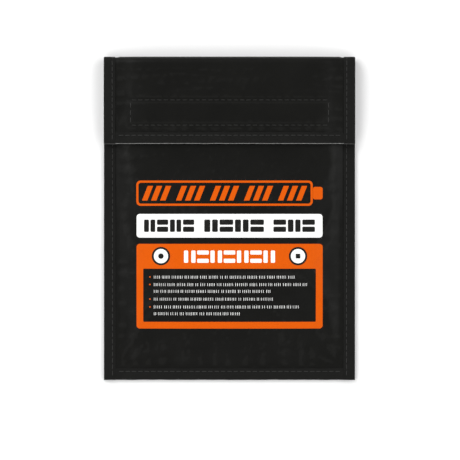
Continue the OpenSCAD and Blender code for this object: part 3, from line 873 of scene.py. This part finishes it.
# ---------------------------------------------------------------------------
# Edge bindings: one folded tape along each edge
# ---------------------------------------------------------------------------
def u_section(height, t=TAPE, n_leaf=7, n_bend=8):
    """Outer and inner line of a folded tape: (in from the fold, height), from one leaf's edge round to the other's."""
    leaf = np.linspace(TAPE_W, 1.0, n_leaf)
    ang = np.radians(np.linspace(-90, 90, n_bend + 2)[1:-1])
    out_b = 1.0 - np.abs(np.cos(ang)) ** 0.75
    out_h = 0.5 + 0.5 * np.sign(np.sin(ang)) * np.abs(np.sin(ang)) ** 0.8
    b = np.concatenate([leaf, out_b, leaf[::-1]])
    h = np.concatenate([np.zeros(n_leaf), out_h, np.ones(n_leaf)])
    bi = np.concatenate([leaf, 1.0 - np.abs(np.cos(ang)) ** 0.75 * 0.5, leaf[::-1]])
    hi = h.copy()
    height = np.asarray(height, float)[..., None]
    ho = h * height
    hin = np.where(h < 1e-9, t, np.where(h > 1 - 1e-9, height - t, t + hi * (height - 2 * t)))
    # the row of stitches draws each leaf in a little
    groove = 0.13 * np.exp(-((b - 6.0) / 0.8) ** 2)
    ho = ho + np.where(h < 0.5, groove, -groove)
    # the cut edge of each leaf thins out
    thin = 0.14 * np.exp(-((b - TAPE_W) / 0.35) ** 2)
    ho = ho + np.where(h < 0.5, thin, -thin)
    across = np.concatenate([[0], np.cumsum(np.hypot(np.diff(b), np.diff(h * 2.4)))])
    across = across - across[-1] / 2
    return b, ho, bi, hin, across


def pouch_height(y):
    """How thick the bound side is: four layers up to the mouth, then two round the fold."""
    start = HL - ROUND
    along_path = np.minimum(y, start) + ROUND * np.arcsin(clamp01((y - start) / ROUND))
    return mix(2.8, 1.9, ease((along_path - 107.1) / 4.8))


def side_tape(name, s, half):
    """Tape along one side. half is "pouch" or "flap", which meet in the middle of the fold."""
    b, _, bi, _, across = u_section(np.array(2.8))
    m = len(b)
    edge_pts = None
    if half == "pouch":
        ys = np.concatenate([[-HL, -HL + 0.40], graded([-HL + 0.44, -HL + 1.2, 100, HL - ROUND], 1.5)])
        fn = back_path
    else:
        ys = np.concatenate([graded([HL - ROUND, 96, FLAP_Y + 1.2], 1.5)[1:], [FLAP_Y + 0.44, FLAP_Y + 0.40, FLAP_Y]])
        fn = flap_path
    po, pi, uvs = [], [], []
    ref = fn(np.array([HW]), ys)
    n_st = ref[0].shape[1]
    y_ref = ref[0][0]
    s_ref = ref[4][0]
    if half == "pouch":
        height = pouch_height(y_ref)
        lift = np.zeros(n_st)
        s_uv = s_ref - HL
    else:
        q = ease(np.clip(ref[3][0] * 0.5 + np.where(ref[3][0] > 0.999, 0.5, 0), 0, 1))
        height = 1.9 + 0.2 * q
        lift = -0.6 * q
        s_uv = -s_ref
    b, ho, bi, hin, across = u_section(height)
    # the cut ends are pressed shut
    shut = (y_ref < -HL + 0.42) if half == "pouch" else ((y_ref < FLAP_Y + 0.42) & (ref[3][0] > 0.5))
    middle = height[:, None] / 2 + (hin / height[:, None] - 0.5) * 0.03
    hin = np.where(shut[:, None], middle, hin)
    off_mid = ease(np.abs(s_ref - (s_ref[-1] if half == "pouch" else s_ref[0])) / 9.0)
    wob = 0.10 * noise2(s_uv / 7.0, 0.5 + s, 81) * off_mid
    wob_in = 0.16 * noise2(s_uv / 6.0, 4.5 + s, 82) * off_mid
    for k in range(m):
        leafness = ease((b[k] - 5) / 3)
        for store, bb, hh in ((po, b[k], ho[:, k]), (pi, bi[k], hin[:, k])):
            a = HW - bb + wob * (1 - leafness) * (0 if bb < 0.02 else 1) - 0.06 * (1 - leafness) + wob_in * leafness
            a = np.minimum(a, HW)
            y = np.zeros(n_st)
            z = np.zeros(n_st)
            yy, zz, ny, nz, _ = fn(a, ys)
            idx = np.arange(n_st)
            d = hh + lift
            y = yy[idx, idx] - ny[idx, idx] * d
            z = zz[idx, idx] - nz[idx, idx] * d
            store.append(np.stack([s * a, y, z], 1))
        uvs.append(np.stack([s_uv, np.full(n_st, across[k])], 1))
    po, pi, uv = np.stack(po, 1), np.stack(pi, 1), np.stack(uvs, 1)
    bld = Build()
    # the cut end at the flap's corner is rubbed and a little frayed
    end = 1.45 * np.exp(-((po[..., 1] - FLAP_Y) / 0.5) ** 2) if half == "flap" else np.zeros(po.shape[:2])
    bld.slab(po, pi, uv, end)
    return outward(bld.object(name, BIND, "wear"))


def edge_tape(name, xs, y_fold, inward, low, high, seed, handled=0.0):
    """Tape along an edge that runs across the bag. low and high are the faces it grips, as functions of x and y."""
    b, ho, bi, hin, across = u_section(np.full(len(xs), 2.0))
    m = len(b)
    po, pi, uvs = [], [], []
    wob = 0.10 * noise2(xs / 7.0, 0.5, seed)
    wob_in = 0.16 * noise2(xs / 6.0, 4.5, seed + 1)
    for k in range(m):
        leafness = ease((b[k] - 5) / 3)
        for store, bb, outer in ((po, b[k], True), (pi, bi[k], False)):
            off = bb + 0.06 * (1 - leafness) - wob * (1 - leafness) + wob_in * leafness
            off = np.maximum(off, 0)
            y = y_fold + inward * off
            lo, hi_ = low(xs, y) - TAPE, high(xs, y) + TAPE
            total = hi_ - lo
            _, ho_k, _, hin_k, _ = u_section(total)
            h = ho_k[:, k] if outer else hin_k[:, k]
            store.append(np.stack([xs, y, lo + h], 1))
        uvs.append(np.stack([xs, np.full(len(xs), across[k])], 1))
    po, pi, uv = np.stack(po, 1), np.stack(pi, 1), np.stack(uvs, 1)
    bld = Build()
    bld.slab(po, pi, uv, np.full(po.shape[:2], handled))
    return outward(bld.object(name, BIND, "wear"))


left_tape = side_tape("left_side_tape", -1, "pouch")
right_tape = side_tape("right_side_tape", 1, "pouch")
left_flap_tape = side_tape("left_flap_tape", -1, "flap")
right_flap_tape = side_tape("right_flap_tape", 1, "flap")
bottom_tape = edge_tape("bottom_tape", graded([-79.4, 79.4], 1.5), -HL, 1,
                        lambda x, y: np.full_like(x, TAPE), lambda x, y: np.full_like(x, 2.3), 91)
mouth_tape = edge_tape("mouth_tape", graded([-76, 76], 1.3), MOUTH_Y, -1,
                       lambda x, y: front_z(x, y) - 0.08, lambda x, y: front_top(x, y) + 0.06, 93)
flap_tape = edge_tape("flap_edge_tape", graded([-79.4, 79.4], 1.3), FLAP_Y, 1,
                      lambda x, y: flap_top(x, y) - STACK - 0.06, lambda x, y: flap_top(x, y) + 0.06, 95, 1.0)
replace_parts(to_pouch_fold(left_tape), "left_side_binding")
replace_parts(to_pouch_fold(right_tape), "right_side_binding")
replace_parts(to_flap_fold(left_flap_tape), "flap_left_binding", "fold_left_binding")
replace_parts(to_flap_fold(right_flap_tape), "flap_right_binding", "fold_right_binding")
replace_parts(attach(bottom_tape, "pouch"), "bottom_binding")
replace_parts(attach(mouth_tape, "pouch"), "mouth_binding")
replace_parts(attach(flap_tape, "flap"), "flap_edge_binding")


# ---------------------------------------------------------------------------
# Stitching: a thread that rises from one hole and goes down the next
# ---------------------------------------------------------------------------
def stitch_run(b, place, s0, s1, r=0.27, rise_=0.07, sink=0.24):
    """A row of stitches. place(s) gives points and outward normals along the row."""
    n = max(1, int(round((s1 - s0) / PITCH)))
    step = (s1 - s0) / n
    rng = np.random.default_rng(int(abs(s0 * 131 + s1 * 17 + n)) + 5)
    for k in range(n):
        c = s0 + (k + 0.5) * step + rng.normal(0, 0.05)
        half = STITCH / 2 + rng.normal(0, 0.05)
        t = np.linspace(-1, 1, 9)
        p, nrm = place(c + t * half)
        h = rise_ - (rise_ + sink) * np.abs(t) ** 5
        side = np.cross(p[-1] - p[0], nrm[4])
        side /= max(1e-9, np.linalg.norm(side))
        skew = rng.normal(0, 0.05)
        pts = p + nrm * h[:, None] + side[None, :] * (skew * t)[:, None]
        rad = r * (1 - 0.22 * np.abs(t) ** 3)
        b.tube(pts, rad, 6, uv0=k * STITCH, flat=0.82)


def across_row(y, z, up):
    """place() for a row along X."""
    def place(s):
        yy = np.full_like(s, y)
        zz = z(s, yy)
        e = 0.4
        dx = (z(s + e, yy) - z(s - e, yy)) / (2 * e)
        dy = (z(s, yy + e) - z(s, yy - e)) / (2 * e)
        n = np.stack([-dx, -dy, np.ones_like(s)], 1) * up
        n /= np.linalg.norm(n, axis=1)[:, None]
        return np.stack([s, yy, zz], 1), n
    return place


def path_row(fn, ys, a, side, depth, out):
    """place() for a row along a side path, depth(nz) in from the outer face."""
    y, z, ny, nz, s = (q[0] for q in fn(np.array([a]), ys, 24, 6))
    d = depth(y, nz)
    py, pz = y - ny * d, z - nz * d
    length = np.concatenate([[0], np.cumsum(np.hypot(np.diff(py), np.diff(pz)))])

    def place(t):
        q = [np.interp(t, length, w) for w in (py, pz, ny, nz)]
        n = np.stack([np.zeros_like(t), q[2] * out, q[3] * out], 1)
        n /= np.maximum(1e-9, np.linalg.norm(n, axis=1))[:, None]
        return np.stack([np.full_like(t, side * a), q[0], q[1]], 1), n
    return place, length[-1]


def flap_q(nz):
    return ease(np.clip(nz * 0.5 + np.where(nz > 0.999, 0.5, 0), 0, 1))


ROW = HW - 6.0
YS_POUCH = graded([-HL, 100, HL - ROUND], 1.0)
YS_FLAP = graded([HL - ROUND, FLAP_Y], 1.0)[1:]
for s_, side_name in ((-1, "left"), (1, "right")):
    b = Build()
    place, total = path_row(back_path, YS_POUCH, ROW, s_, lambda y, nz: 0.13 + 0 * y, 1)
    stitch_run(b, place, 2.6, total - 0.5, 0.2, -0.05)
    place, total = path_row(back_path, YS_POUCH, ROW, s_, lambda y, nz: pouch_height(y) - 0.13, -1)
    stitch_run(b, place, 2.6, total - 0.5)
    ob = outward(b.object(side_name + "_side_thread", THREAD))
    to_pouch_fold(ob)
    if s_ < 0:
        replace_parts(ob, "side_seam_stitching")
    b = Build()
    place, total = path_row(flap_path, YS_FLAP, ROW, s_, lambda y, nz: 0.13 - 0.6 * flap_q(nz), 1)
    stitch_run(b, place, 0.5, total - 2.6)
    place, total = path_row(flap_path, YS_FLAP, ROW, s_, lambda y, nz: 1.9 + 0.2 * flap_q(nz) - 0.6 * flap_q(nz) - 0.13, -1)
    stitch_run(b, place, 0.5, total - 2.6)
    ob = outward(b.object(side_name + "_flap_thread", THREAD))
    to_flap_fold(ob)


def thread_piece(name, body, replaced, rows):
    b = Build()
    for place, s0, s1, *size in rows:
        stitch_run(b, place, s0, s1, *size)
    ob = outward(b.object(name, THREAD))
    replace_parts(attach(ob, body), replaced)
    return ob


thread_piece("bottom_thread", "pouch", "bottom_seam_stitching", [
    (across_row(-HL + 6, lambda x, y: np.full_like(x, 2.67), 1), -77.5, 77.5),
    (across_row(-HL + 6, lambda x, y: np.full_like(x, 0.13), -1), -77.5, 77.5, 0.2, -0.05)])
thread_piece("mouth_thread", "pouch", "mouth_stitching", [
    (across_row(MOUTH_Y - 6, lambda x, y: front_top(x, y) + 0.43, 1), -74.5, 74.5),
    (across_row(MOUTH_Y - 6, lambda x, y: front_z(x, y) - 0.45, -1), -74.5, 74.5)])
thread_piece("flap_edge_thread", "flap", "flap_edge_stitching", [
    (across_row(FLAP_Y + 6, lambda x, y: flap_top(x, y) + 0.43, 1), -77.5, 77.5),
    (across_row(FLAP_Y + 6, lambda x, y: flap_top(x, y) - STACK - 0.43, -1), -77.5, 77.5)])


# ---------------------------------------------------------------------------
# Hook and loop strips
# ---------------------------------------------------------------------------
PILE_IN = 2.5


def strip_slab(b, face, sign):
    xs = graded([-STRIP_HALF, -STRIP_HALF + 1, STRIP_HALF - 1, STRIP_HALF], 1.5)
    ys = graded([STRIP_Y, STRIP_Y + 0.5, STRIP_Y + PILE_IN, STRIP_Y + STRIP_W - PILE_IN, STRIP_Y + STRIP_W - 0.5, STRIP_Y + STRIP_W], 1.3)
    gx, gy = np.meshgrid(xs, ys, indexing="ij")
    gx = gx + 0.05 * noise2(gx * 0.5, gy * 0.5, 101)
    z = face(gx, gy) + sign * 0.02
    d = np.minimum(np.minimum(gy - STRIP_Y, STRIP_Y + STRIP_W - gy), np.minimum(gx + STRIP_HALF, STRIP_HALF - gx))
    high = 0.38 + 0.12 * ease(d / 0.6) - 0.14 * np.exp(-((d - 1.25) / 0.5) ** 2)
    top = np.stack([gx, gy, z + sign * high], 2)
    low = np.stack([gx, gy, z], 2)
    b.slab(top, low, np.stack([gx, gy], 2))


def fibres(b, face, sign, pitch, seed, kind):
    rng = np.random.default_rng(seed)
    tx = np.linspace(-STRIP_HALF, STRIP_HALF, 281)
    table = [face(tx, np.full_like(tx, STRIP_Y + 0.25 * k)) for k in range(int(STRIP_W / 0.25) + 1)]
    for x in np.arange(-STRIP_HALF + PILE_IN + 0.5, STRIP_HALF - PILE_IN - 0.4, pitch):
        for y in np.arange(STRIP_Y + PILE_IN + 0.5, STRIP_Y + STRIP_W - PILE_IN - 0.4, pitch):
            jit = 0.30 if kind == "loop" else 0.06
            cx, cy = x + rng.normal(0, jit), y + rng.normal(0, jit)
            cy = min(max(cy, STRIP_Y + PILE_IN + 0.2), STRIP_Y + STRIP_W - PILE_IN - 0.2)
            z0 = float(np.interp(cx, tx, table[int(round((cy - STRIP_Y) / 0.25))])) + sign * 0.40
            if kind == "loop":
                turn_ = rng.random() * 2 * np.pi
                w, h = rng.uniform(0.30, 0.52), rng.uniform(0.42, 0.66)
                lean = rng.normal(0, 0.16, 2)
                t = np.linspace(0, np.pi, 6)
                px = cx + w * np.cos(t) * math.cos(turn_) + lean[0] * np.sin(t)
                py = cy + w * np.cos(t) * math.sin(turn_) + lean[1] * np.sin(t)
                pz = z0 + sign * h * np.sin(t)
                b.tube(np.stack([px, py, pz], 1), 0.055, 4, ref=(-math.sin(turn_), math.cos(turn_), 0))
            else:
                d = 1 if (int(round((y - STRIP_Y) / pitch)) % 2) else -1
                h = 0.56 + rng.normal(0, 0.012)
                px = np.array([0, 0, 0.02, 0.13, 0.27, 0.33]) * d + cx + rng.normal(0, 0.02)
                pz = z0 + sign * np.array([0, 0.5, 0.86, 1.0, 0.90, 0.66]) * h
                b.tube(np.stack([px, np.full(6, cy), pz], 1), np.array([0.10, 0.085, 0.08, 0.075, 0.07, 0.055]), 5, ref=(0, 1, 0))


def flap_under(x, y):
    return flap_top(x, y) - STACK


b = Build()
strip_slab(b, front_top, 1)
fibres(b, front_top, 1, 0.92, 111, "loop")
loop_tape = b.object("loop_tape", LOOP)
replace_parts(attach(outward(loop_tape), "pouch"), "loop_strip")
b = Build()
strip_slab(b, flap_under, -1)
fibres(b, flap_under, -1, 1.45, 112, "hook")
hook_tape = b.object("hook_tape", HOOK)
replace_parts(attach(outward(hook_tape), "flap"), "hook_strip")


def strip_rows(z, up):
    return [(across_row(STRIP_Y + 1.25, z, up), -STRIP_HALF + 1.5, STRIP_HALF - 1.5),
            (across_row(STRIP_Y + STRIP_W - 1.25, z, up), -STRIP_HALF + 1.5, STRIP_HALF - 1.5)]


def end_rows(b, z, up):
    for sx in (-1, 1):
        def place(s, sx=sx):
            xx = np.full_like(s, sx * (STRIP_HALF - 1.25))
            n = np.zeros((len(s), 3))
            n[:, 2] = up
            return np.stack([xx, s, z(xx, s)], 1), n
        stitch_run(b, place, STRIP_Y + 2.4, STRIP_Y + STRIP_W - 2.4)


b = Build()
for place, s0, s1 in strip_rows(lambda x, y: front_top(x, y) + 0.36, 1):
    stitch_run(b, place, s0, s1)
end_rows(b, lambda x, y: front_top(x, y) + 0.36, 1)
ob = outward(b.object("loop_thread", THREAD))
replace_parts(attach(ob, "pouch"), "loop_strip_stitching")
b = Build()
for z, up in ((lambda x, y: flap_under(x, y) - 0.36, -1), (lambda x, y: flap_top(x, y) - 0.02, 1)):
    for place, s0, s1 in strip_rows(z, up):
        stitch_run(b, place, s0, s1, r=0.22, rise_=0.05)
    end_rows(b, z, up)
ob = outward(b.object("hook_thread", THREAD))
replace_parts(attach(ob, "flap"), "hook_strip_stitching")


# ---------------------------------------------------------------------------
# Printed panels: thin films of ink that follow the cloth
# ---------------------------------------------------------------------------
def film(b, gx, gy, low, high):
    z = front_top(gx, gy)
    b.slab(np.stack([gx, gy, z + high], 2), np.stack([gx, gy, z + low], 2), np.stack([gx, gy], 2), crest(gx, gy, front_wrinkles, 22))


def rounded(b, x0, x1, y0, y1, r, low, high, step=1.4):
    """A filled rectangle with round corners, row by row."""
    r = min(r, (y1 - y0) / 2 - 1e-3, (x1 - x0) / 2 - 1e-3)
    arc = r * (1 - np.cos(np.radians(np.linspace(0, 90, 6))))
    ys = np.unique(np.round(np.concatenate([y0 + arc, graded([y0 + r, y1 - r], step), y1 - arc]), 5))
    d = np.maximum(0, np.maximum(y0 + r - ys, ys - (y1 - r)))
    cut = r - np.sqrt(np.maximum(0, r * r - d * d))
    u = np.linspace(0, 1, max(2, int(math.ceil((x1 - x0) / step)) + 1))
    gx = (x0 + cut)[None, :] + u[:, None] * (x1 - x0 - 2 * cut)[None, :]
    gy = np.repeat(ys[None, :], len(u), 0)
    film(b, gx, gy, low, high)


def outline(x0, x1, y0, y1, r, n_side):
    """Points round a rounded rectangle, the same count for any size."""
    out = []
    corners = [(x1 - r, y0 + r, -90), (x1 - r, y1 - r, 0), (x0 + r, y1 - r, 90), (x0 + r, y0 + r, 180)]
    for k, (cx, cy, a0) in enumerate(corners):
        arc = [(cx + r * math.cos(math.radians(a0 + a)), cy + r * math.sin(math.radians(a0 + a))) for a in np.linspace(0, 90, 7)]
        nx_, ny_, na = corners[(k + 1) % 4]
        end = (nx_ + r * math.cos(math.radians(na)), ny_ + r * math.sin(math.radians(na)))
        out += arc
        for t in np.linspace(0, 1, n_side[k % 2] + 1)[1:-1]:
            out.append((mix(arc[-1][0], end[0], t), mix(arc[-1][1], end[1], t)))
    return np.array(out)


def ring(b, outer, inner, low, high, n_side, steps):
    """A closed band of ink between two rounded rectangles."""
    po, pi_ = outline(*outer, n_side), outline(*inner, n_side)
    t = np.linspace(0, 1, steps + 1)
    g = po[:, None] * (1 - t)[None, :, None] + pi_[:, None] * t[None, :, None]
    gx, gy = g[..., 0], g[..., 1]
    z = front_top(gx, gy)
    wear = crest(gx, gy, front_wrinkles, 22).ravel()
    m, k = gx.shape
    n = m * k
    verts = np.concatenate([np.stack([gx, gy, z + high], 2).reshape(-1, 3), np.stack([gx, gy, z + low], 2).reshape(-1, 3)])
    i, j = np.meshgrid(np.arange(m), np.arange(k - 1), indexing="ij")
    i2 = (i + 1) % m
    a, b_, c, d = (i * k + j).ravel(), (i2 * k + j).ravel(), (i2 * k + j + 1).ravel(), (i * k + j + 1).ravel()
    q = np.arange(m)
    q2 = (q + 1) % m
    walls = [np.stack([q2 * k + e, q * k + e, q * k + e + n, q2 * k + e + n], 1) for e in (0,)]
    walls += [np.stack([q * k + k - 1, q2 * k + k - 1, q2 * k + k - 1 + n, q * k + k - 1 + n], 1)]
    faces = np.concatenate([np.stack([a, b_, c, d], 1), np.stack([d, c, b_, a], 1) + n] + walls) + b.n
    sharp = []
    for e in (0, k - 1):
        for off in (0, n):
            sharp += [(int(u_ * k + e + off + b.n), int(v_ * k + e + off + b.n)) for u_, v_ in zip(q, q2)]
    uv = np.stack([gx, gy], 2).reshape(-1, 2)
    b.add(verts, faces, sharp, np.concatenate([uv, uv]), np.concatenate([wear, wear]))


def disc(b, cx, cy, r, low, high, rings=5, spokes=28):
    """A round spot of ink, as rings round one middle point."""
    ang = np.linspace(0, 2 * np.pi, spokes, endpoint=False)
    rr = np.linspace(0, r, rings + 1)[1:]
    x = np.concatenate([[cx], (cx + rr[:, None] * np.cos(ang)).ravel()])
    y = np.concatenate([[cy], (cy + rr[:, None] * np.sin(ang)).ravel()])
    z = front_top(x, y)
    n = len(x)
    verts = np.concatenate([np.stack([x, y, z + high], 1), np.stack([x, y, z + low], 1)])
    s0, faces, sharp = b.n, [], []
    for k in range(spokes):
        k2 = (k + 1) % spokes
        faces += [(s0, s0 + 1 + k, s0 + 1 + k2), (s0 + n, s0 + n + 1 + k2, s0 + n + 1 + k)]
        for q in range(rings - 1):
            a, c = 1 + q * spokes, 1 + (q + 1) * spokes
            faces += [(s0 + a + k, s0 + c + k, s0 + c + k2, s0 + a + k2),
                      (s0 + n + a + k2, s0 + n + c + k2, s0 + n + c + k, s0 + n + a + k)]
        e = 1 + (rings - 1) * spokes
        faces.append((s0 + e + k, s0 + n + e + k, s0 + n + e + k2, s0 + e + k2))
        sharp += [(s0 + e + k, s0 + e + k2), (s0 + n + e + k, s0 + n + e + k2)]
    uv = np.stack([x, y], 1)
    b.add(verts, faces, sharp, np.concatenate([uv, uv]))


def tile(b, x0, x1, y0, y1, low, high):
    """A small plain block of ink."""
    gx, gy = np.meshgrid(np.array([x0, x1]), np.array([y0, y1]), indexing="ij")
    film(b, gx, gy, low, high)


def slanted(b, x0, w, y0, y1, lean, low, high):
    """A leaning stripe."""
    u, t = np.linspace(0, 1, 4), np.linspace(0, 1, 9)
    gx = x0 + u[:, None] * w + t[None, :] * lean
    gy = np.repeat((y0 + t * (y1 - y0))[None, :], 4, 0)
    film(b, gx, gy, low, high)


P = 64.75
L1, L2, L3, L4 = (0.02, 0.09), (0.03, 0.13), (0.05, 0.17), (0.07, 0.21)
b = Build()
# battery symbol
ring(b, (-P, P - 6.9, 8.75, 26.3, 3.0), (-P + 1.5, P - 8.4, 10.25, 24.8, 1.7), *L1, (12, 86), 2)
rounded(b, P - 6.8, P, 13.2, 21.9, 1.5, *L1)
for i in range(5):
    for k in range(3):
        slanted(b, -P + 3.95 + i * 23.6 + k * 6.3, 3.75, 12.4, 22.6, 4.0, *L1)
# notice panel
ring(b, (-64.65, 64.8, -76.58, -17.66, 2.2), (-59.98, 60.05, -71.9, -34.93, 0.7), *L1, (38, 92), 12)
for y in (-40.7, -45.95, -56.05, -61.5):
    disc(b, -55.3, y, 0.55, *L1, rings=2, spokes=12)
orange_print = outward(b.object("orange_print", ORANGE, "wear"))
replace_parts(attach(orange_print, "pouch"), "print_orange")

b = Build()
rounded(b, -64.6, 64.7, -13.35, 3.1, 2.2, *L1)
for i in range(7):
    x0 = -31.6 + i * 9.2
    if i % 2:
        rounded(b, x0, x0 + 8.0, -30.8, -28.0, 0.7, *L2)
        rounded(b, x0, x0 + 8.0, -25.1, -22.3, 0.7, *L2)
    else:
        rounded(b, x0, x0 + 2.9, -30.8, -22.3, 0.7, *L2)
        rounded(b, x0 + 5.1, x0 + 8.0, -30.8, -22.3, 0.7, *L2)
for s_ in (-1, 1):
    disc(b, s_ * 47.6, -26.2, 5.0, *L3)
rng = np.random.default_rng(907)
for y, end in ((-40.75, 46.6), (-45.95, 54.0), (-50.65, 30.1), (-56.05, 31.6), (-61.5, 48.8), (-66.2, 8.7)):
    x = -52.5
    while x < end - 1.0:
        for _ in range(int(rng.integers(2, 8))):
            w = rng.uniform(0.24, 0.38)
            if x + w > end:
                break
            tile(b, x, x + w, y - 1.05, y + 0.95, *L1)
            x += w + rng.uniform(0.66, 1.15)
        x += 0.75
white_print = outward(b.object("white_print", WHITE, "wear"))
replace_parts(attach(white_print, "pouch"), "print_white")

b = Build()
for x0, x1, count in ((-59.4, -24.5, 4), (-17.5, 23.9, 4), (30.5, 59.4, 3)):
    gap_ = 1.25
    w = (x1 - x0 - gap_ * (count - 1)) / count
    for i in range(count):
        a = x0 + i * (w + gap_)
        if (i + count) % 2:
            rounded(b, a, a + w, -9.4, -5.75, 0.8, *L2)
            rounded(b, a, a + w, -4.45, -0.8, 0.8, *L2)
        else:
            rounded(b, a, a + w * 0.44, -9.4, -0.8, 0.8, *L2)
            rounded(b, a + w * 0.58, a + w, -9.4, -0.8, 0.8, *L2)
for s_ in (-1, 1):
    disc(b, s_ * 47.6, -26.2, 6.4, *L2)
disc(b, -47.6, -26.2, 1.9, *L4, rings=3, spokes=20)
rounded(b, 46.0, 49.2, -27.8, -24.6, 0.5, *L4)
black_print = outward(b.object("black_print", BLACK, "wear"))
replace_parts(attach(black_print, "pouch"), "print_black")


# ---------------------------------------------------------------------------
# Floor, light and camera
# ---------------------------------------------------------------------------
floor_mesh = bpy.data.meshes.new("floor")
floor_mesh.from_pydata([(-4, -4, -0.0001), (4, -4, -0.0001), (4, 4, -0.0001), (-4, 4, -0.0001)], [], [(0, 1, 2, 3)])
floor = bpy.data.objects.new("floor", floor_mesh)
bpy.context.scene.collection.objects.link(floor)
fn_ = Nodes("floor_paper")
fn_.set(Roughness=0.95)
fn_.p.inputs["Base Color"].default_value = (0.93, 0.93, 0.93, 1)
fn_.p.inputs["Specular IOR Level"].default_value = 0.0
floor_mesh.materials.append(fn_.mat)

world = bpy.data.worlds.new("studio")
world.use_nodes = True
bg = world.node_tree.nodes.get("Background")
bg.inputs[0].default_value = (1, 1, 1, 1)
bg.inputs[1].default_value = 0.36
bpy.context.scene.world = world


def area(name, at, size, power, aim=(0, 0, 0)):
    data = bpy.data.lights.new(name, "AREA")
    data.shape = "RECTANGLE"
    data.size, data.size_y = size
    data.energy = power
    ob_ = bpy.data.objects.new(name, data)
    bpy.context.scene.collection.objects.link(ob_)
    ob_.location = at
    ob_.rotation_euler = (Vector(aim) - Vector(at)).to_track_quat("-Z", "Y").to_euler()
    ob_.visible_camera = False
    return ob_


area("key", (-1.55, 1.45, 1.35), (2.2, 2.2), 51)
area("fill", (1.85, 0.8, 1.25), (2.2, 2.2), 31)
area("low_left", (-1.6, -1.5, 1.25), (2.2, 2.2), 30)
area("low_right", (1.5, -1.65, 1.25), (2.2, 2.2), 27)

cam_data = bpy.data.cameras.new("camera")
cam_data.lens = 300
cam_data.sensor_width = 36
cam_data.dof.use_dof = False
cam_data.clip_start, cam_data.clip_end = 0.05, 20
camera = bpy.data.objects.new("camera", cam_data)
bpy.context.scene.collection.objects.link(camera)
camera.location = (0.00036, -0.00806, 2.672)
camera.rotation_euler = (0, 0, 0)
bpy.context.scene.camera = camera
bpy.context.scene.view_settings.view_transform = "Standard"
